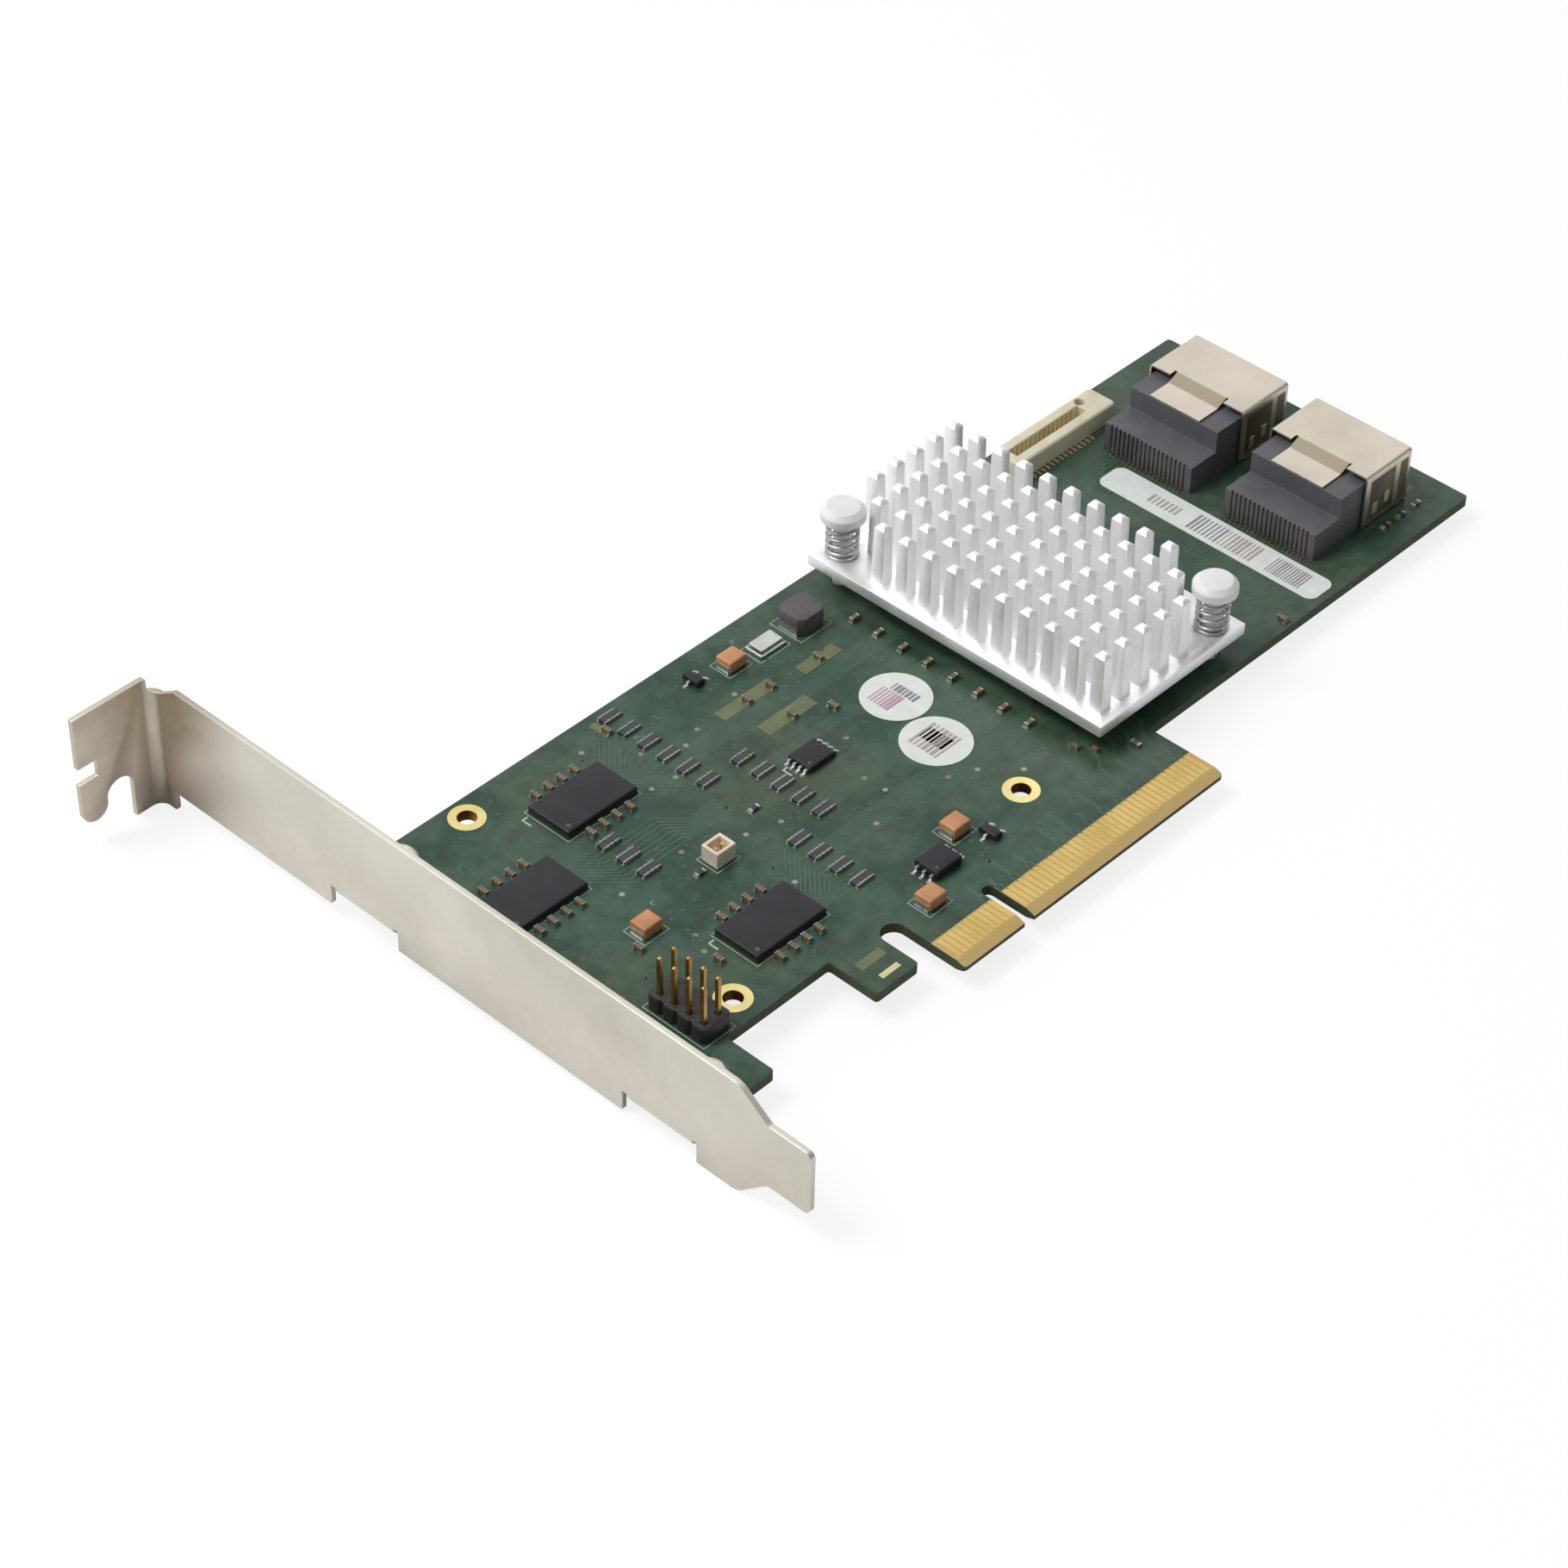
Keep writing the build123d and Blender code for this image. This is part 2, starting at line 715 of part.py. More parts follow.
# Push pins with split barbed tips, and the springs under their caps
for side, (pin_x, pin_y) in push_pin_spots.items():
    with BuildPart() as push_pin:
        barb_z = underside - push_pin_barb_gap
        with BuildSketch(Plane((pin_x, pin_y, 0), x_dir=(1, 0, 0), z_dir=(0, -1, 0))):
            Polygon(
                (0, barb_z - push_pin_tip_length),
                (push_pin_tip_radius, barb_z - push_pin_tip_length),
                (push_pin_barb, barb_z),
                (push_pin_shaft, barb_z),
                (push_pin_shaft, cap_underside),
                (push_pin_cap_radius, cap_underside),
                (push_pin_cap_radius, cap_underside + push_pin_cap_rim),
                (push_pin_cap_radius - push_pin_cap_slope, cap_underside + push_pin_cap_height),
                (0, cap_underside + push_pin_cap_height),
                align=None,
            )
        revolve(axis=Axis((pin_x, pin_y, 0), (0, 0, 1)))
        with BuildSketch(Plane.XY.offset(barb_z - push_pin_tip_length)):
            with Locations((pin_x, pin_y)):
                Rectangle(push_pin_slit, 3 * push_pin_barb)
        extrude(amount=push_pin_slit_length, mode=Mode.SUBTRACT)
    push_pin.part.label = f"push_pin_{side}"
    export_step(push_pin.part, f"parts/push_pin_{side}.step")

    with BuildPart() as push_pin_spring:
        spring_base = sink_deck + spring_wire + spring_seat_gap
        with BuildLine():
            coil = Helix(
                pitch=spring_pitch,
                height=spring_length - 2 * spring_wire - 2 * spring_seat_gap,
                radius=spring_radius,
                center=(pin_x, pin_y, spring_base),
            )
        with BuildSketch(Plane(coil @ 0, z_dir=coil % 0)):
            RegularPolygon(spring_wire, 6)
        sweep(is_frenet=True)
    push_pin_spring.part.label = f"push_pin_spring_{side}"
    export_step(push_pin_spring.part, f"parts/push_pin_spring_{side}.step")

# Memory chips
for name, spot in memory_spots.items():
    with BuildPart() as memory_chip:
        with BuildSketch():
            with Locations(spot):
                Rectangle(memory_length, memory_width)
        extrude(amount=memory_height)
        chamfer(memory_chip.edges().group_by(Axis.Z)[-1], memory_edge)
    memory_chip.part.label = f"memory_chip_{name}"
    export_step(memory_chip.part, f"parts/memory_chip_{name}.step")

# Cable connectors: a folded cage soldered through the board, a moulded housing and its contacts
for side, centre in connector_centres.items():
    with BuildPart() as sas_cage:
        with BuildSketch(Plane.YZ.offset(cage_front)) as cage_section:
            with Locations((centre, cage_height / 2)):
                Rectangle(cage_width, cage_height)
            fillet(cage_section.vertices(), cage_corner)
            with Locations((centre, cage_height / 2)):
                RectangleRounded(
                    cage_width - 2 * cage_sheet,
                    cage_height - 2 * cage_sheet,
                    cage_corner - cage_sheet,
                    mode=Mode.SUBTRACT,
                )
        extrude(amount=cage_length)
        # The top wall is slit beside the tab that steps down onto the housing
        with BuildSketch(Plane.XY.offset(cage_height - cage_sheet)):
            with Locations((cage_front, centre)):
                Rectangle(
                    cage_tab_set_in,
                    cage_tab_width + 2 * cage_tab_slit,
                    align=(Align.MIN, Align.CENTER),
                )
        extrude(amount=cage_sheet, mode=Mode.SUBTRACT)
        tab_root = cage_front + cage_tab_set_in
        tab_level = housing_tall_height + housing_clearance + cage_sheet / 2
        with BuildSketch(Plane.XZ.offset(-centre - cage_tab_width / 2)):
            with BuildLine():
                Polyline(
                    (tab_root + cage_sheet, cage_height - cage_sheet / 2),
                    (tab_root, cage_height - cage_sheet / 2),
                    (tab_root - cage_tab_slope, tab_level),
                    (tab_root - cage_tab_slope - cage_tab_reach, tab_level),
                )
            trace(line_width=cage_sheet)
        extrude(amount=cage_tab_width)
        for leg_side in (-1, 1):
            leg_y = centre + leg_side * (cage_width - cage_sheet) / 2
            with BuildSketch(Plane.XY.offset(2 * cage_corner)):
                with Locations((cage_front + cage_leg_inset, leg_y), (cage_rear - cage_leg_inset, leg_y)):
                    Rectangle(cage_leg_width, cage_sheet)
            extrude(amount=-2 * cage_corner - cage_leg_drop)
    sas_cage.part.label = f"sas_cage_{side}"
    export_step(sas_cage.part, f"parts/sas_cage_{side}.step")

    tall_front = cage_front - housing_tall_length
    insert_front = cage_front - housing_clearance
    insert_rear = cage_front + housing_insert
    insert_step = cage_front + cage_tab_set_in + 2 * cage_sheet
    insert_base = cage_sheet + housing_clearance
    insert_top = cage_height - cage_sheet - housing_clearance
    insert_width = cage_width - 2 * cage_sheet - 2 * housing_clearance
    with BuildPart() as sas_housing:
        with BuildSketch(Plane.XZ.offset(-centre)):
            Polygon(
                (low_front, 0),
                (insert_front, 0),
                (insert_front, housing_tall_height),
                (tall_front, housing_tall_height),
                (tall_front, housing_low_height),
                (low_front, housing_low_height),
                align=None,
            )
        extrude(amount=housing_width / 2, both=True)
        with BuildSketch(Plane.XZ.offset(-centre)):
            Polygon(
                (insert_front, insert_base),
                (insert_rear, insert_base),
                (insert_rear, insert_top),
                (insert_step, insert_top),
                (insert_step, housing_tall_height),
                (insert_front, housing_tall_height),
                align=None,
            )
        extrude(amount=insert_width / 2 - cage_corner / 2, both=True)
        with BuildSketch(Plane.YZ.offset(insert_rear)):
            with Locations((centre, cable_slot_rise)):
                Rectangle(cable_slot_width, cable_slot_height)
        extrude(amount=-cable_slot_depth, mode=Mode.SUBTRACT)
        with BuildSketch():
            with Locations((low_front + groove_depth / 2, centre)):
                with GridLocations(0, contact_pitch, 1, contact_count):
                    Rectangle(groove_depth, groove_width)
        extrude(amount=housing_low_height, mode=Mode.SUBTRACT)
    sas_housing.part.label = f"sas_housing_{side}"
    export_step(sas_housing.part, f"parts/sas_housing_{side}.step")

    with BuildPart() as sas_contacts:
        blade_x = insert_rear - contact_blade
        blade_rise = (cable_slot_height - contact_thickness) / 2
        for blade_z in (cable_slot_rise - blade_rise, cable_slot_rise + blade_rise):
            with BuildSketch(Plane.XY.offset(blade_z - contact_thickness / 2)):
                with Locations((blade_x, centre)):
                    with GridLocations(0, contact_pitch, 1, contact_count):
                        Rectangle(contact_blade - 1, contact_width, align=(Align.MIN, Align.CENTER))
            extrude(amount=contact_thickness)
        tail_x = low_front + groove_depth
        for row in range(contact_count):
            tail_y = centre + (row - (contact_count - 1) / 2) * contact_pitch
            with BuildSketch(Plane.XZ.offset(-tail_y - contact_width / 2)):
                Polygon(
                    (low_front - contact_foot, 0),
                    (tail_x, 0),
                    (tail_x, contact_rise),
                    (tail_x - contact_thickness, contact_rise),
                    (tail_x - contact_thickness, contact_thickness),
                    (low_front - contact_foot, contact_thickness),
                    align=None,
                )
            extrude(amount=contact_width)
    sas_contacts.part.label = f"sas_contacts_{side}"
    export_step(sas_contacts.part, f"parts/sas_contacts_{side}.step")

# Battery connector: a low moulded socket at the top edge
battery_slot_x = battery_x - battery_slot_shift
battery_peg_x = battery_x + battery_length / 2 - battery_peg_inset_x
with BuildPart() as battery_connector_body:
    with BuildSketch():
        with Locations((battery_x, battery_y)):
            RectangleRounded(battery_length, battery_width, battery_corner)
    extrude(amount=battery_height)
    chamfer(battery_connector_body.edges().group_by(Axis.Z)[-1], battery_edge)
    with BuildSketch(Plane.XY.offset(battery_height)):
        with Locations((battery_slot_x, battery_y)):
            Rectangle(battery_slot_length, battery_slot_width)
    extrude(amount=-battery_slot_depth, mode=Mode.SUBTRACT)
    with BuildSketch(Plane.XY.offset(battery_height)):
        with Locations((battery_peg_x, battery_y + battery_peg_shift_y)):
            Circle(battery_peg_radius)
    extrude(amount=-battery_slot_depth, mode=Mode.SUBTRACT)
battery_connector_body.part.label = "battery_connector_body"
export_step(battery_connector_body.part, "parts/battery_connector_body.step")

with BuildPart() as battery_connector_contacts:
    # Solder feet along the inner side, and blades on the slot's wall
    with BuildSketch():
        with Locations((battery_slot_x, battery_y - battery_width / 2 - battery_contact_foot / 2)):
            with GridLocations(battery_contact_pitch, 0, battery_contact_count, 1):
                Rectangle(battery_contact_width, battery_contact_foot)
    extrude(amount=battery_contact_thickness)
    with BuildSketch(Plane.XY.offset(battery_height - battery_slot_depth)):
        with Locations(
            (battery_slot_x, battery_y - battery_slot_width / 2 + battery_contact_thickness / 2),
            (battery_slot_x, battery_y + battery_slot_width / 2 - battery_contact_thickness / 2),
        ):
            with GridLocations(battery_contact_pitch, 0, battery_contact_count, 1):
                Rectangle(battery_contact_width, battery_contact_thickness)
    extrude(amount=battery_slot_depth - battery_edge)
battery_connector_contacts.part.label = "battery_connector_contacts"
export_step(battery_connector_contacts.part, "parts/battery_connector_contacts.step")

# Pin header: a base of eight joined cells, and eight square pins through the board
with BuildPart() as pin_header_base:
    with BuildSketch():
        with Locations(header_spot):
            with GridLocations(0, header_pitch, 1, header_columns):
                with BuildSketch(mode=Mode.PRIVATE) as header_cell:
                    Rectangle(header_rows * header_pitch, header_pitch)
                    chamfer(header_cell.vertices(), header_corner)
                add(header_cell.sketch)
            with GridLocations(header_pitch, header_pitch, header_rows, header_columns):
                Rectangle(
                    header_pin + 2 * header_pin_fit, header_pin + 2 * header_pin_fit, mode=Mode.SUBTRACT
                )
    extrude(amount=header_base_height)
pin_header_base.part.label = "pin_header_base"
export_step(pin_header_base.part, "parts/pin_header_base.step")

with BuildPart() as pin_header_pins:
    with BuildSketch(Plane.XY.offset(underside - header_pin_tail)):
        with Locations(header_spot):
            with GridLocations(header_pitch, header_pitch, header_rows, header_columns):
                Rectangle(header_pin, header_pin)
    extrude(amount=header_pin_top + header_pin_tail + board_thickness)
    chamfer(pin_header_pins.edges().group_by(Axis.Z)[-1], header_pin_point, header_pin_point / 2)
pin_header_pins.part.label = "pin_header_pins"
export_step(pin_header_pins.part, "parts/pin_header_pins.step")

# Labels
with BuildPart() as strip_label:
    with BuildSketch():
        with Locations((strip_label_x, strip_label_low + strip_label_length / 2)):
            RectangleRounded(strip_label_width, strip_label_length, strip_label_radius)
    extrude(amount=label_thickness)
strip_label.part.label = "strip_label"
export_step(strip_label.part, "parts/strip_label.step")

for name, spot in round_label_spots.items():
    with BuildPart() as round_label:
        with BuildSketch():
            with Locations(spot):
                Circle(round_label_radius)
        extrude(amount=label_thickness)
    round_label.part.label = f"round_label_{name}"
    export_step(round_label.part, f"parts/round_label_{name}.step")


# One bent lead of a leaded chip, with its foot on the board and its root at the chip's side
def bent_lead(root_height):
    with BuildPart() as lead:
        with BuildSketch(Plane.XZ.offset(-lead_width / 2)):
            with BuildLine():
                Polyline(
                    (0, root_height),
                    (lead_reach - lead_foot, root_height),
                    (lead_reach - lead_foot, lead_thickness / 2),
                    (lead_reach, lead_thickness / 2),
                )
            trace(line_width=lead_thickness)
        extrude(amount=lead_width)
    return lead.part


# A moulded chip body, held off the board by its leads
def chip_body(spots, length, width, height):
    with BuildPart() as body:
        with BuildSketch(Plane.XY.offset(chip_standoff)):
            with Locations(*spots):
                Rectangle(length, width)
        extrude(amount=height - chip_standoff)
        chamfer(body.edges().group_by(Axis.Z)[-1], chip_edge)
    return body


supervisor_chip = chip_body([supervisor_spot], supervisor_length, supervisor_width, supervisor_height)
supervisor_chip.part.label = "supervisor_chip"
export_step(supervisor_chip.part, "parts/supervisor_chip.step")

with BuildPart() as supervisor_leads:
    for side_x, turn in ((supervisor_length / 2, 0), (-supervisor_length / 2, 180)):
        with Locations(Location((supervisor_spot[0] + side_x, supervisor_spot[1], 0), (0, 0, turn))):
            with GridLocations(0, supervisor_lead_pitch, 1, supervisor_leads_a_side):
                add(bent_lead(supervisor_height / 2))
supervisor_leads.part.label = "supervisor_leads"
export_step(supervisor_leads.part, "parts/supervisor_leads.step")

regulator_chip = chip_body([regulator_spot], regulator_length, regulator_width, regulator_height)
regulator_chip.part.label = "regulator_chip"
export_step(regulator_chip.part, "parts/regulator_chip.step")

with BuildPart() as regulator_leads:
    for side_x, turn in ((regulator_length / 2, 0), (-regulator_length / 2, 180)):
        with Locations(Location((regulator_spot[0] + side_x, regulator_spot[1], 0), (0, 0, turn))):
            with GridLocations(0, regulator_lead_pitch, 1, regulator_leads_a_side):
                add(bent_lead(regulator_height / 2))
regulator_leads.part.label = "regulator_leads"
export_step(regulator_leads.part, "parts/regulator_leads.step")

# Three-legged transistors: two leads on one side and one on the other
transistors = chip_body(transistor_spots, transistor_width, transistor_length, transistor_height)
transistors.part.label = "transistors"
export_step(transistors.part, "parts/transistors.step")

with BuildPart() as transistor_leads:
    for spot_x, spot_y in transistor_spots:
        with Locations(Location((spot_x + transistor_width / 2, spot_y, 0), (0, 0, 0))):
            with GridLocations(0, 2 * transistor_lead_pitch, 1, 2):
                add(bent_lead(transistor_height / 2))
        with Locations(Location((spot_x - transistor_width / 2, spot_y, 0), (0, 0, 180))):
            add(bent_lead(transistor_height / 2))
transistor_leads.part.label = "transistor_leads"
export_step(transistor_leads.part, "parts/transistor_leads.step")

# Ceramic capacitors: rows beside the memory chips and the heat sink, and single ones
memory_row_gap = memory_width + capacitor_length + 2 * memory_capacitor_gap
capacitor_places = [
    Location((spot[0] + place.position.X, spot[1] + place.position.Y), 90)
    for spot in memory_spots.values()
    for place in GridLocations(memory_capacitor_pitch, memory_row_gap, memory_capacitors, 2)
]
capacitor_places += [
    Location((heat_sink_x - heat_sink_length / 2 - sink_capacitor_gap, heat_sink_y + place.position.Y))
    for place in GridLocations(0, sink_capacitor_pitch, 1, sink_capacitors)
]
capacitor_places += [Location(spot, 90) for spot in loose_capacitor_spots]


# Chip parts are a body between two plated ends, all on the board
def chip_pieces(places, length, width, height, end, wrap):
    with BuildPart() as bodies:
        with BuildSketch(Plane.XY.offset(wrap)):
            with Locations(*places):
                Rectangle(length - 2 * end, width - 2 * wrap)
        extrude(amount=height - 2 * wrap)
    with BuildPart() as ends:
        with BuildSketch():
            with Locations(*places):
                with GridLocations(length - end, 0, 2, 1):
                    Rectangle(end, width)
        extrude(amount=height)
    return bodies, ends


ceramic_capacitors, capacitor_ends = chip_pieces(
    capacitor_places,
    capacitor_length,
    capacitor_width,
    capacitor_height,
    capacitor_end,
    capacitor_wrap,
)
ceramic_capacitors.part.label = "ceramic_capacitors"
export_step(ceramic_capacitors.part, "parts/ceramic_capacitors.step")
capacitor_ends.part.label = "capacitor_ends"
export_step(capacitor_ends.part, "parts/capacitor_ends.step")

resistor_places = [Location(spot, 0) for spot in loose_resistor_spots]
resistors, resistor_ends = chip_pieces(
    resistor_places, resistor_length, resistor_width, resistor_height, resistor_end, resistor_wrap
)
resistors.part.label = "resistors"
export_step(resistors.part, "parts/resistors.step")
resistor_ends.part.label = "resistor_ends"
export_step(resistor_ends.part, "parts/resistor_ends.step")

array_places = [
    Location((row_spot[0], row_spot[1] + place.position.Y), 90)
    for row_spot, row_count in array_rows.items()
    for place in GridLocations(0, array_pitch, 1, row_count)
]
resistor_arrays, resistor_array_ends = chip_pieces(
    array_places, array_width, array_length, array_height, array_end, resistor_wrap
)
resistor_arrays.part.label = "resistor_arrays"
export_step(resistor_arrays.part, "parts/resistor_arrays.step")
resistor_array_ends.part.label = "resistor_array_ends"
export_step(resistor_array_ends.part, "parts/resistor_array_ends.step")

# Tantalum capacitors: a moulded block over two folded terminals
with BuildPart() as tantalum_capacitors:
    with BuildSketch(Plane.XY.offset(chip_standoff)):
        with Locations(*tantalum_spots):
            Rectangle(tantalum_length - 2 * chip_standoff, tantalum_width)
    extrude(amount=tantalum_height - chip_standoff)
    chamfer(tantalum_capacitors.edges().group_by(Axis.Z)[-1], tantalum_edge)
tantalum_capacitors.part.label = "tantalum_capacitors"
export_step(tantalum_capacitors.part, "parts/tantalum_capacitors.step")

with BuildPart() as tantalum_terminals:
    with BuildSketch():
        with Locations(*tantalum_spots):
            with GridLocations(tantalum_length - tantalum_terminal, 0, 2, 1):
                Rectangle(tantalum_terminal, tantalum_terminal_width)
    extrude(amount=chip_standoff)
    with BuildSketch():
        with Locations(*tantalum_spots):
            with GridLocations(tantalum_length - chip_standoff, 0, 2, 1):
                Rectangle(chip_standoff, tantalum_terminal_width)
    extrude(amount=tantalum_height / 2)
tantalum_terminals.part.label = "tantalum_terminals"
export_step(tantalum_terminals.part, "parts/tantalum_terminals.step")

# Power inductor: a square ferrite block with cut corners between two clip terminals
with BuildPart() as power_inductor:
    with BuildSketch(Plane.XY.offset(chip_standoff)) as inductor_outline:
        with Locations(inductor_spot):
            Rectangle(inductor_length - 2 * chip_standoff, inductor_width)
        chamfer(inductor_outline.vertices(), inductor_corner)
    extrude(amount=inductor_height - chip_standoff)
power_inductor.part.label = "power_inductor"
export_step(power_inductor.part, "parts/power_inductor.step")

with BuildPart() as inductor_terminals:
    inductor_terminal_width = inductor_width - 2 * inductor_corner
    with BuildSketch():
        with Locations(inductor_spot):
            with GridLocations(inductor_length - inductor_terminal, 0, 2, 1):
                Rectangle(inductor_terminal, inductor_terminal_width)
    extrude(amount=chip_standoff)
    with BuildSketch():
        with Locations(inductor_spot):
            with GridLocations(inductor_length - chip_standoff, 0, 2, 1):
                Rectangle(chip_standoff, inductor_terminal_width)
    extrude(amount=inductor_terminal_height)
inductor_terminals.part.label = "inductor_terminals"
export_step(inductor_terminals.part, "parts/inductor_terminals.step")

# Crystal: a metal can welded on a thin flange
with BuildPart() as crystal_can:
    with BuildSketch():
        with Locations(crystal_spot):
            RectangleRounded(crystal_length, crystal_width, crystal_flange)
    extrude(amount=crystal_flange_height)
    with BuildSketch(Plane.XY.offset(crystal_flange_height)):
        with Locations(crystal_spot):
            RectangleRounded(
                crystal_length - 2 * crystal_flange, crystal_width - 2 * crystal_flange, crystal_flange
            )
    extrude(amount=crystal_height - crystal_flange_height)
crystal_can.part.label = "crystal_can"
export_step(crystal_can.part, "parts/crystal_can.step")

# Lamp header: a small open wafer with two pins
with BuildPart() as led_header_body:
    with BuildSketch():
        with Locations(led_header_spot):
            Rectangle(led_header_length, led_header_width)
    extrude(amount=led_header_height)
    with BuildSketch(Plane.XY.offset(led_header_height)):
        with Locations(led_header_spot):
            Rectangle(led_header_length - 2 * led_header_wall, led_header_width - 2 * led_header_wall)
    extrude(amount=led_header_floor - led_header_height, mode=Mode.SUBTRACT)
led_header_body.part.label = "led_header_body"
export_step(led_header_body.part, "parts/led_header_body.step")

with BuildPart() as led_header_pins:
    with BuildSketch(Plane.XY.offset(led_header_floor)):
        with Locations(led_header_spot):
            with GridLocations(led_pin_pitch, 0, 2, 1):
                Rectangle(led_pin, led_pin)
    extrude(amount=led_pin_top - led_header_floor)
led_header_pins.part.label = "led_header_pins"
export_step(led_header_pins.part, "parts/led_header_pins.step")
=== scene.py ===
import math
import random

import bmesh
import bpy
from mathutils import Matrix, Vector

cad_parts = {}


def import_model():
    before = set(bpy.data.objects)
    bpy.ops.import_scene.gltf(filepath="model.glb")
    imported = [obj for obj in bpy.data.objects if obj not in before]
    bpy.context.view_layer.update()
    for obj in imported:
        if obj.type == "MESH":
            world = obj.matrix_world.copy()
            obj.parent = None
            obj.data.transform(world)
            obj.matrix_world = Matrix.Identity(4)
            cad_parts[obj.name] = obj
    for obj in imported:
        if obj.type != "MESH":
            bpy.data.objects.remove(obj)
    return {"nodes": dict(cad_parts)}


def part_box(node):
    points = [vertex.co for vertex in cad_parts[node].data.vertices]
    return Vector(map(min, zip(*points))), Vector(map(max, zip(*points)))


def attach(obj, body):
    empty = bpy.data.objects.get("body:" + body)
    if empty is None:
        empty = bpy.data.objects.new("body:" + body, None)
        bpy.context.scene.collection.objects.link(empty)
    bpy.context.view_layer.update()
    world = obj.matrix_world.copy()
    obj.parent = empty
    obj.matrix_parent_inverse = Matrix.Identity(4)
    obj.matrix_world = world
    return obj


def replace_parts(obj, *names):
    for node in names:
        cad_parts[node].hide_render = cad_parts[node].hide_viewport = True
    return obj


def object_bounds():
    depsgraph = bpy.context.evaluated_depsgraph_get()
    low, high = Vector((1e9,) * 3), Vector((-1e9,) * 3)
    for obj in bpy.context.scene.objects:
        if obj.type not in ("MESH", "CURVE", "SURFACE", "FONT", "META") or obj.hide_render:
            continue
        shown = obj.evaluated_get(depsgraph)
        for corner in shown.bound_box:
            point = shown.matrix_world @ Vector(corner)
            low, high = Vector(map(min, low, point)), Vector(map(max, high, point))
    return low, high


# Raid controller card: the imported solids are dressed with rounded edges, plated and moulded
# finishes, and the fine work of a circuit board. Metres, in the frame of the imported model.

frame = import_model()
cad_low, cad_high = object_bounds()
nodes = frame["nodes"]

MM = 0.001
UP = Vector((0, 0, 1))

# The photograph's viewpoint
camera_place = (-0.249459, -0.238777, 0.363288)
camera_angles = (48.6415, -0.9072, -46.6449)
camera_lens = 94.864
sensor_width = 36.0

# Board levels and thin layers
board_low, board_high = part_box("circuit_board")
face = board_high.z
back = board_low.z
copper = 0.03 * MM
ink = 0.02 * MM
label_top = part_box("strip_label")[1].z

# Fine work on the board
track_width = 0.2 * MM
track_pitch = 0.42 * MM
pair_gap = 0.36 * MM
via_radius = 0.3 * MM
via_hole = 0.13 * MM
ink_line = 0.14 * MM
bore_radius = 1.4 * MM
liner_wall = 0.06 * MM

# How many vias are scattered, over which X and which Y in millimetres, and how many test pads are tried
via_areas = ((420, (5, 86), (14, 67.5)), (160, (121, 168), (14, 67.5)), (24, (60, 96), (7.5, 13)))
pad_tries = 36

# Places where a finish changes: bare laminate round the fingers, and the bracket's fold, darkened by a
# painted reflection
bare_depth = 5.85 * MM
tongue_front = 44 * MM
fold_height = 99 * MM
fold_reach = 13 * MM

# The cages' tongues, where painted shade darkens the slope: where their slope starts from the rear, its
# length, half its width and its level
slope_setback = 11.4 * MM
slope_length = 2.2 * MM
tongue_half = 4.7 * MM
tongue_level = 7.5 * MM

# Painted shade: dark plates, each standing for an opening, and small springs on the cages' side walls
shade_plate_middle = 4.7 * MM
shade_plate_height = 6.8 * MM
spring_length = 1.1 * MM
spring_height = 1.9 * MM

# The bracket's two ends that can touch the floor, by their place in Y
tab_end_from = 90 * MM
strip_end_to = 20 * MM


def srgb(red, green, blue):
    """A colour as a screen shows it, 0 to 255, turned to linear light."""
    steps = [channel / 255 for channel in (red, green, blue)]
    linear = [s / 12.92 if s <= 0.04045 else ((s + 0.055) / 1.055) ** 2.4 for s in steps]
    return (*linear, 1.0)


# Shader building


def feed(tree, socket, value):
    """A socket linked to another node's output, or set to a plain value."""
    if isinstance(value, bpy.types.NodeSocket):
        tree.links.new(value, socket)
    else:
        socket.default_value = value


def place(tree, kind, inputs=None, **settings):
    """A node with its settings, and its sockets set or linked."""
    made = tree.nodes.new(kind)
    for name, value in settings.items():
        setattr(made, name, value)
    for name, value in (inputs or {}).items():
        feed(tree, made.inputs[name], value)
    return made


def blend(tree, factor, first, second, kind="MIX"):
    """Two colours mixed by a factor."""
    mix = place(tree, "ShaderNodeMix", data_type="RGBA", blend_type=kind)
    for index, value in ((0, factor), (6, first), (7, second)):
        feed(tree, mix.inputs[index], value)
    return mix.outputs[2]


def ramp(tree, value, low, high, to_low=0.0, to_high=1.0):
    """A value stretched from one span to another and held at its ends."""
    spans = {"Value": value, "From Min": low, "From Max": high, "To Min": to_low, "To Max": to_high}
    return place(tree, "ShaderNodeMapRange", spans).outputs["Result"]


def sums(tree, operation, first, second=0.0):
    """One arithmetic step."""
    made = place(tree, "ShaderNodeMath", operation=operation)
    for index, value in enumerate((first, second)):
        feed(tree, made.inputs[index], value)
    return made.outputs[0]


def effect(name, takes, gives):
    """An empty shader group with named inputs and outputs."""
    tree = bpy.data.node_groups.new(name, "ShaderNodeTree")
    for socket_name, kind, value in takes:
        socket = tree.interface.new_socket(name=socket_name, in_out="INPUT", socket_type=kind)
        if value is not None:
            socket.default_value = value
    for socket_name, kind in gives:
        tree.interface.new_socket(name=socket_name, in_out="OUTPUT", socket_type=kind)
    return tree, tree.nodes.new("NodeGroupInput").outputs, tree.nodes.new("NodeGroupOutput").inputs


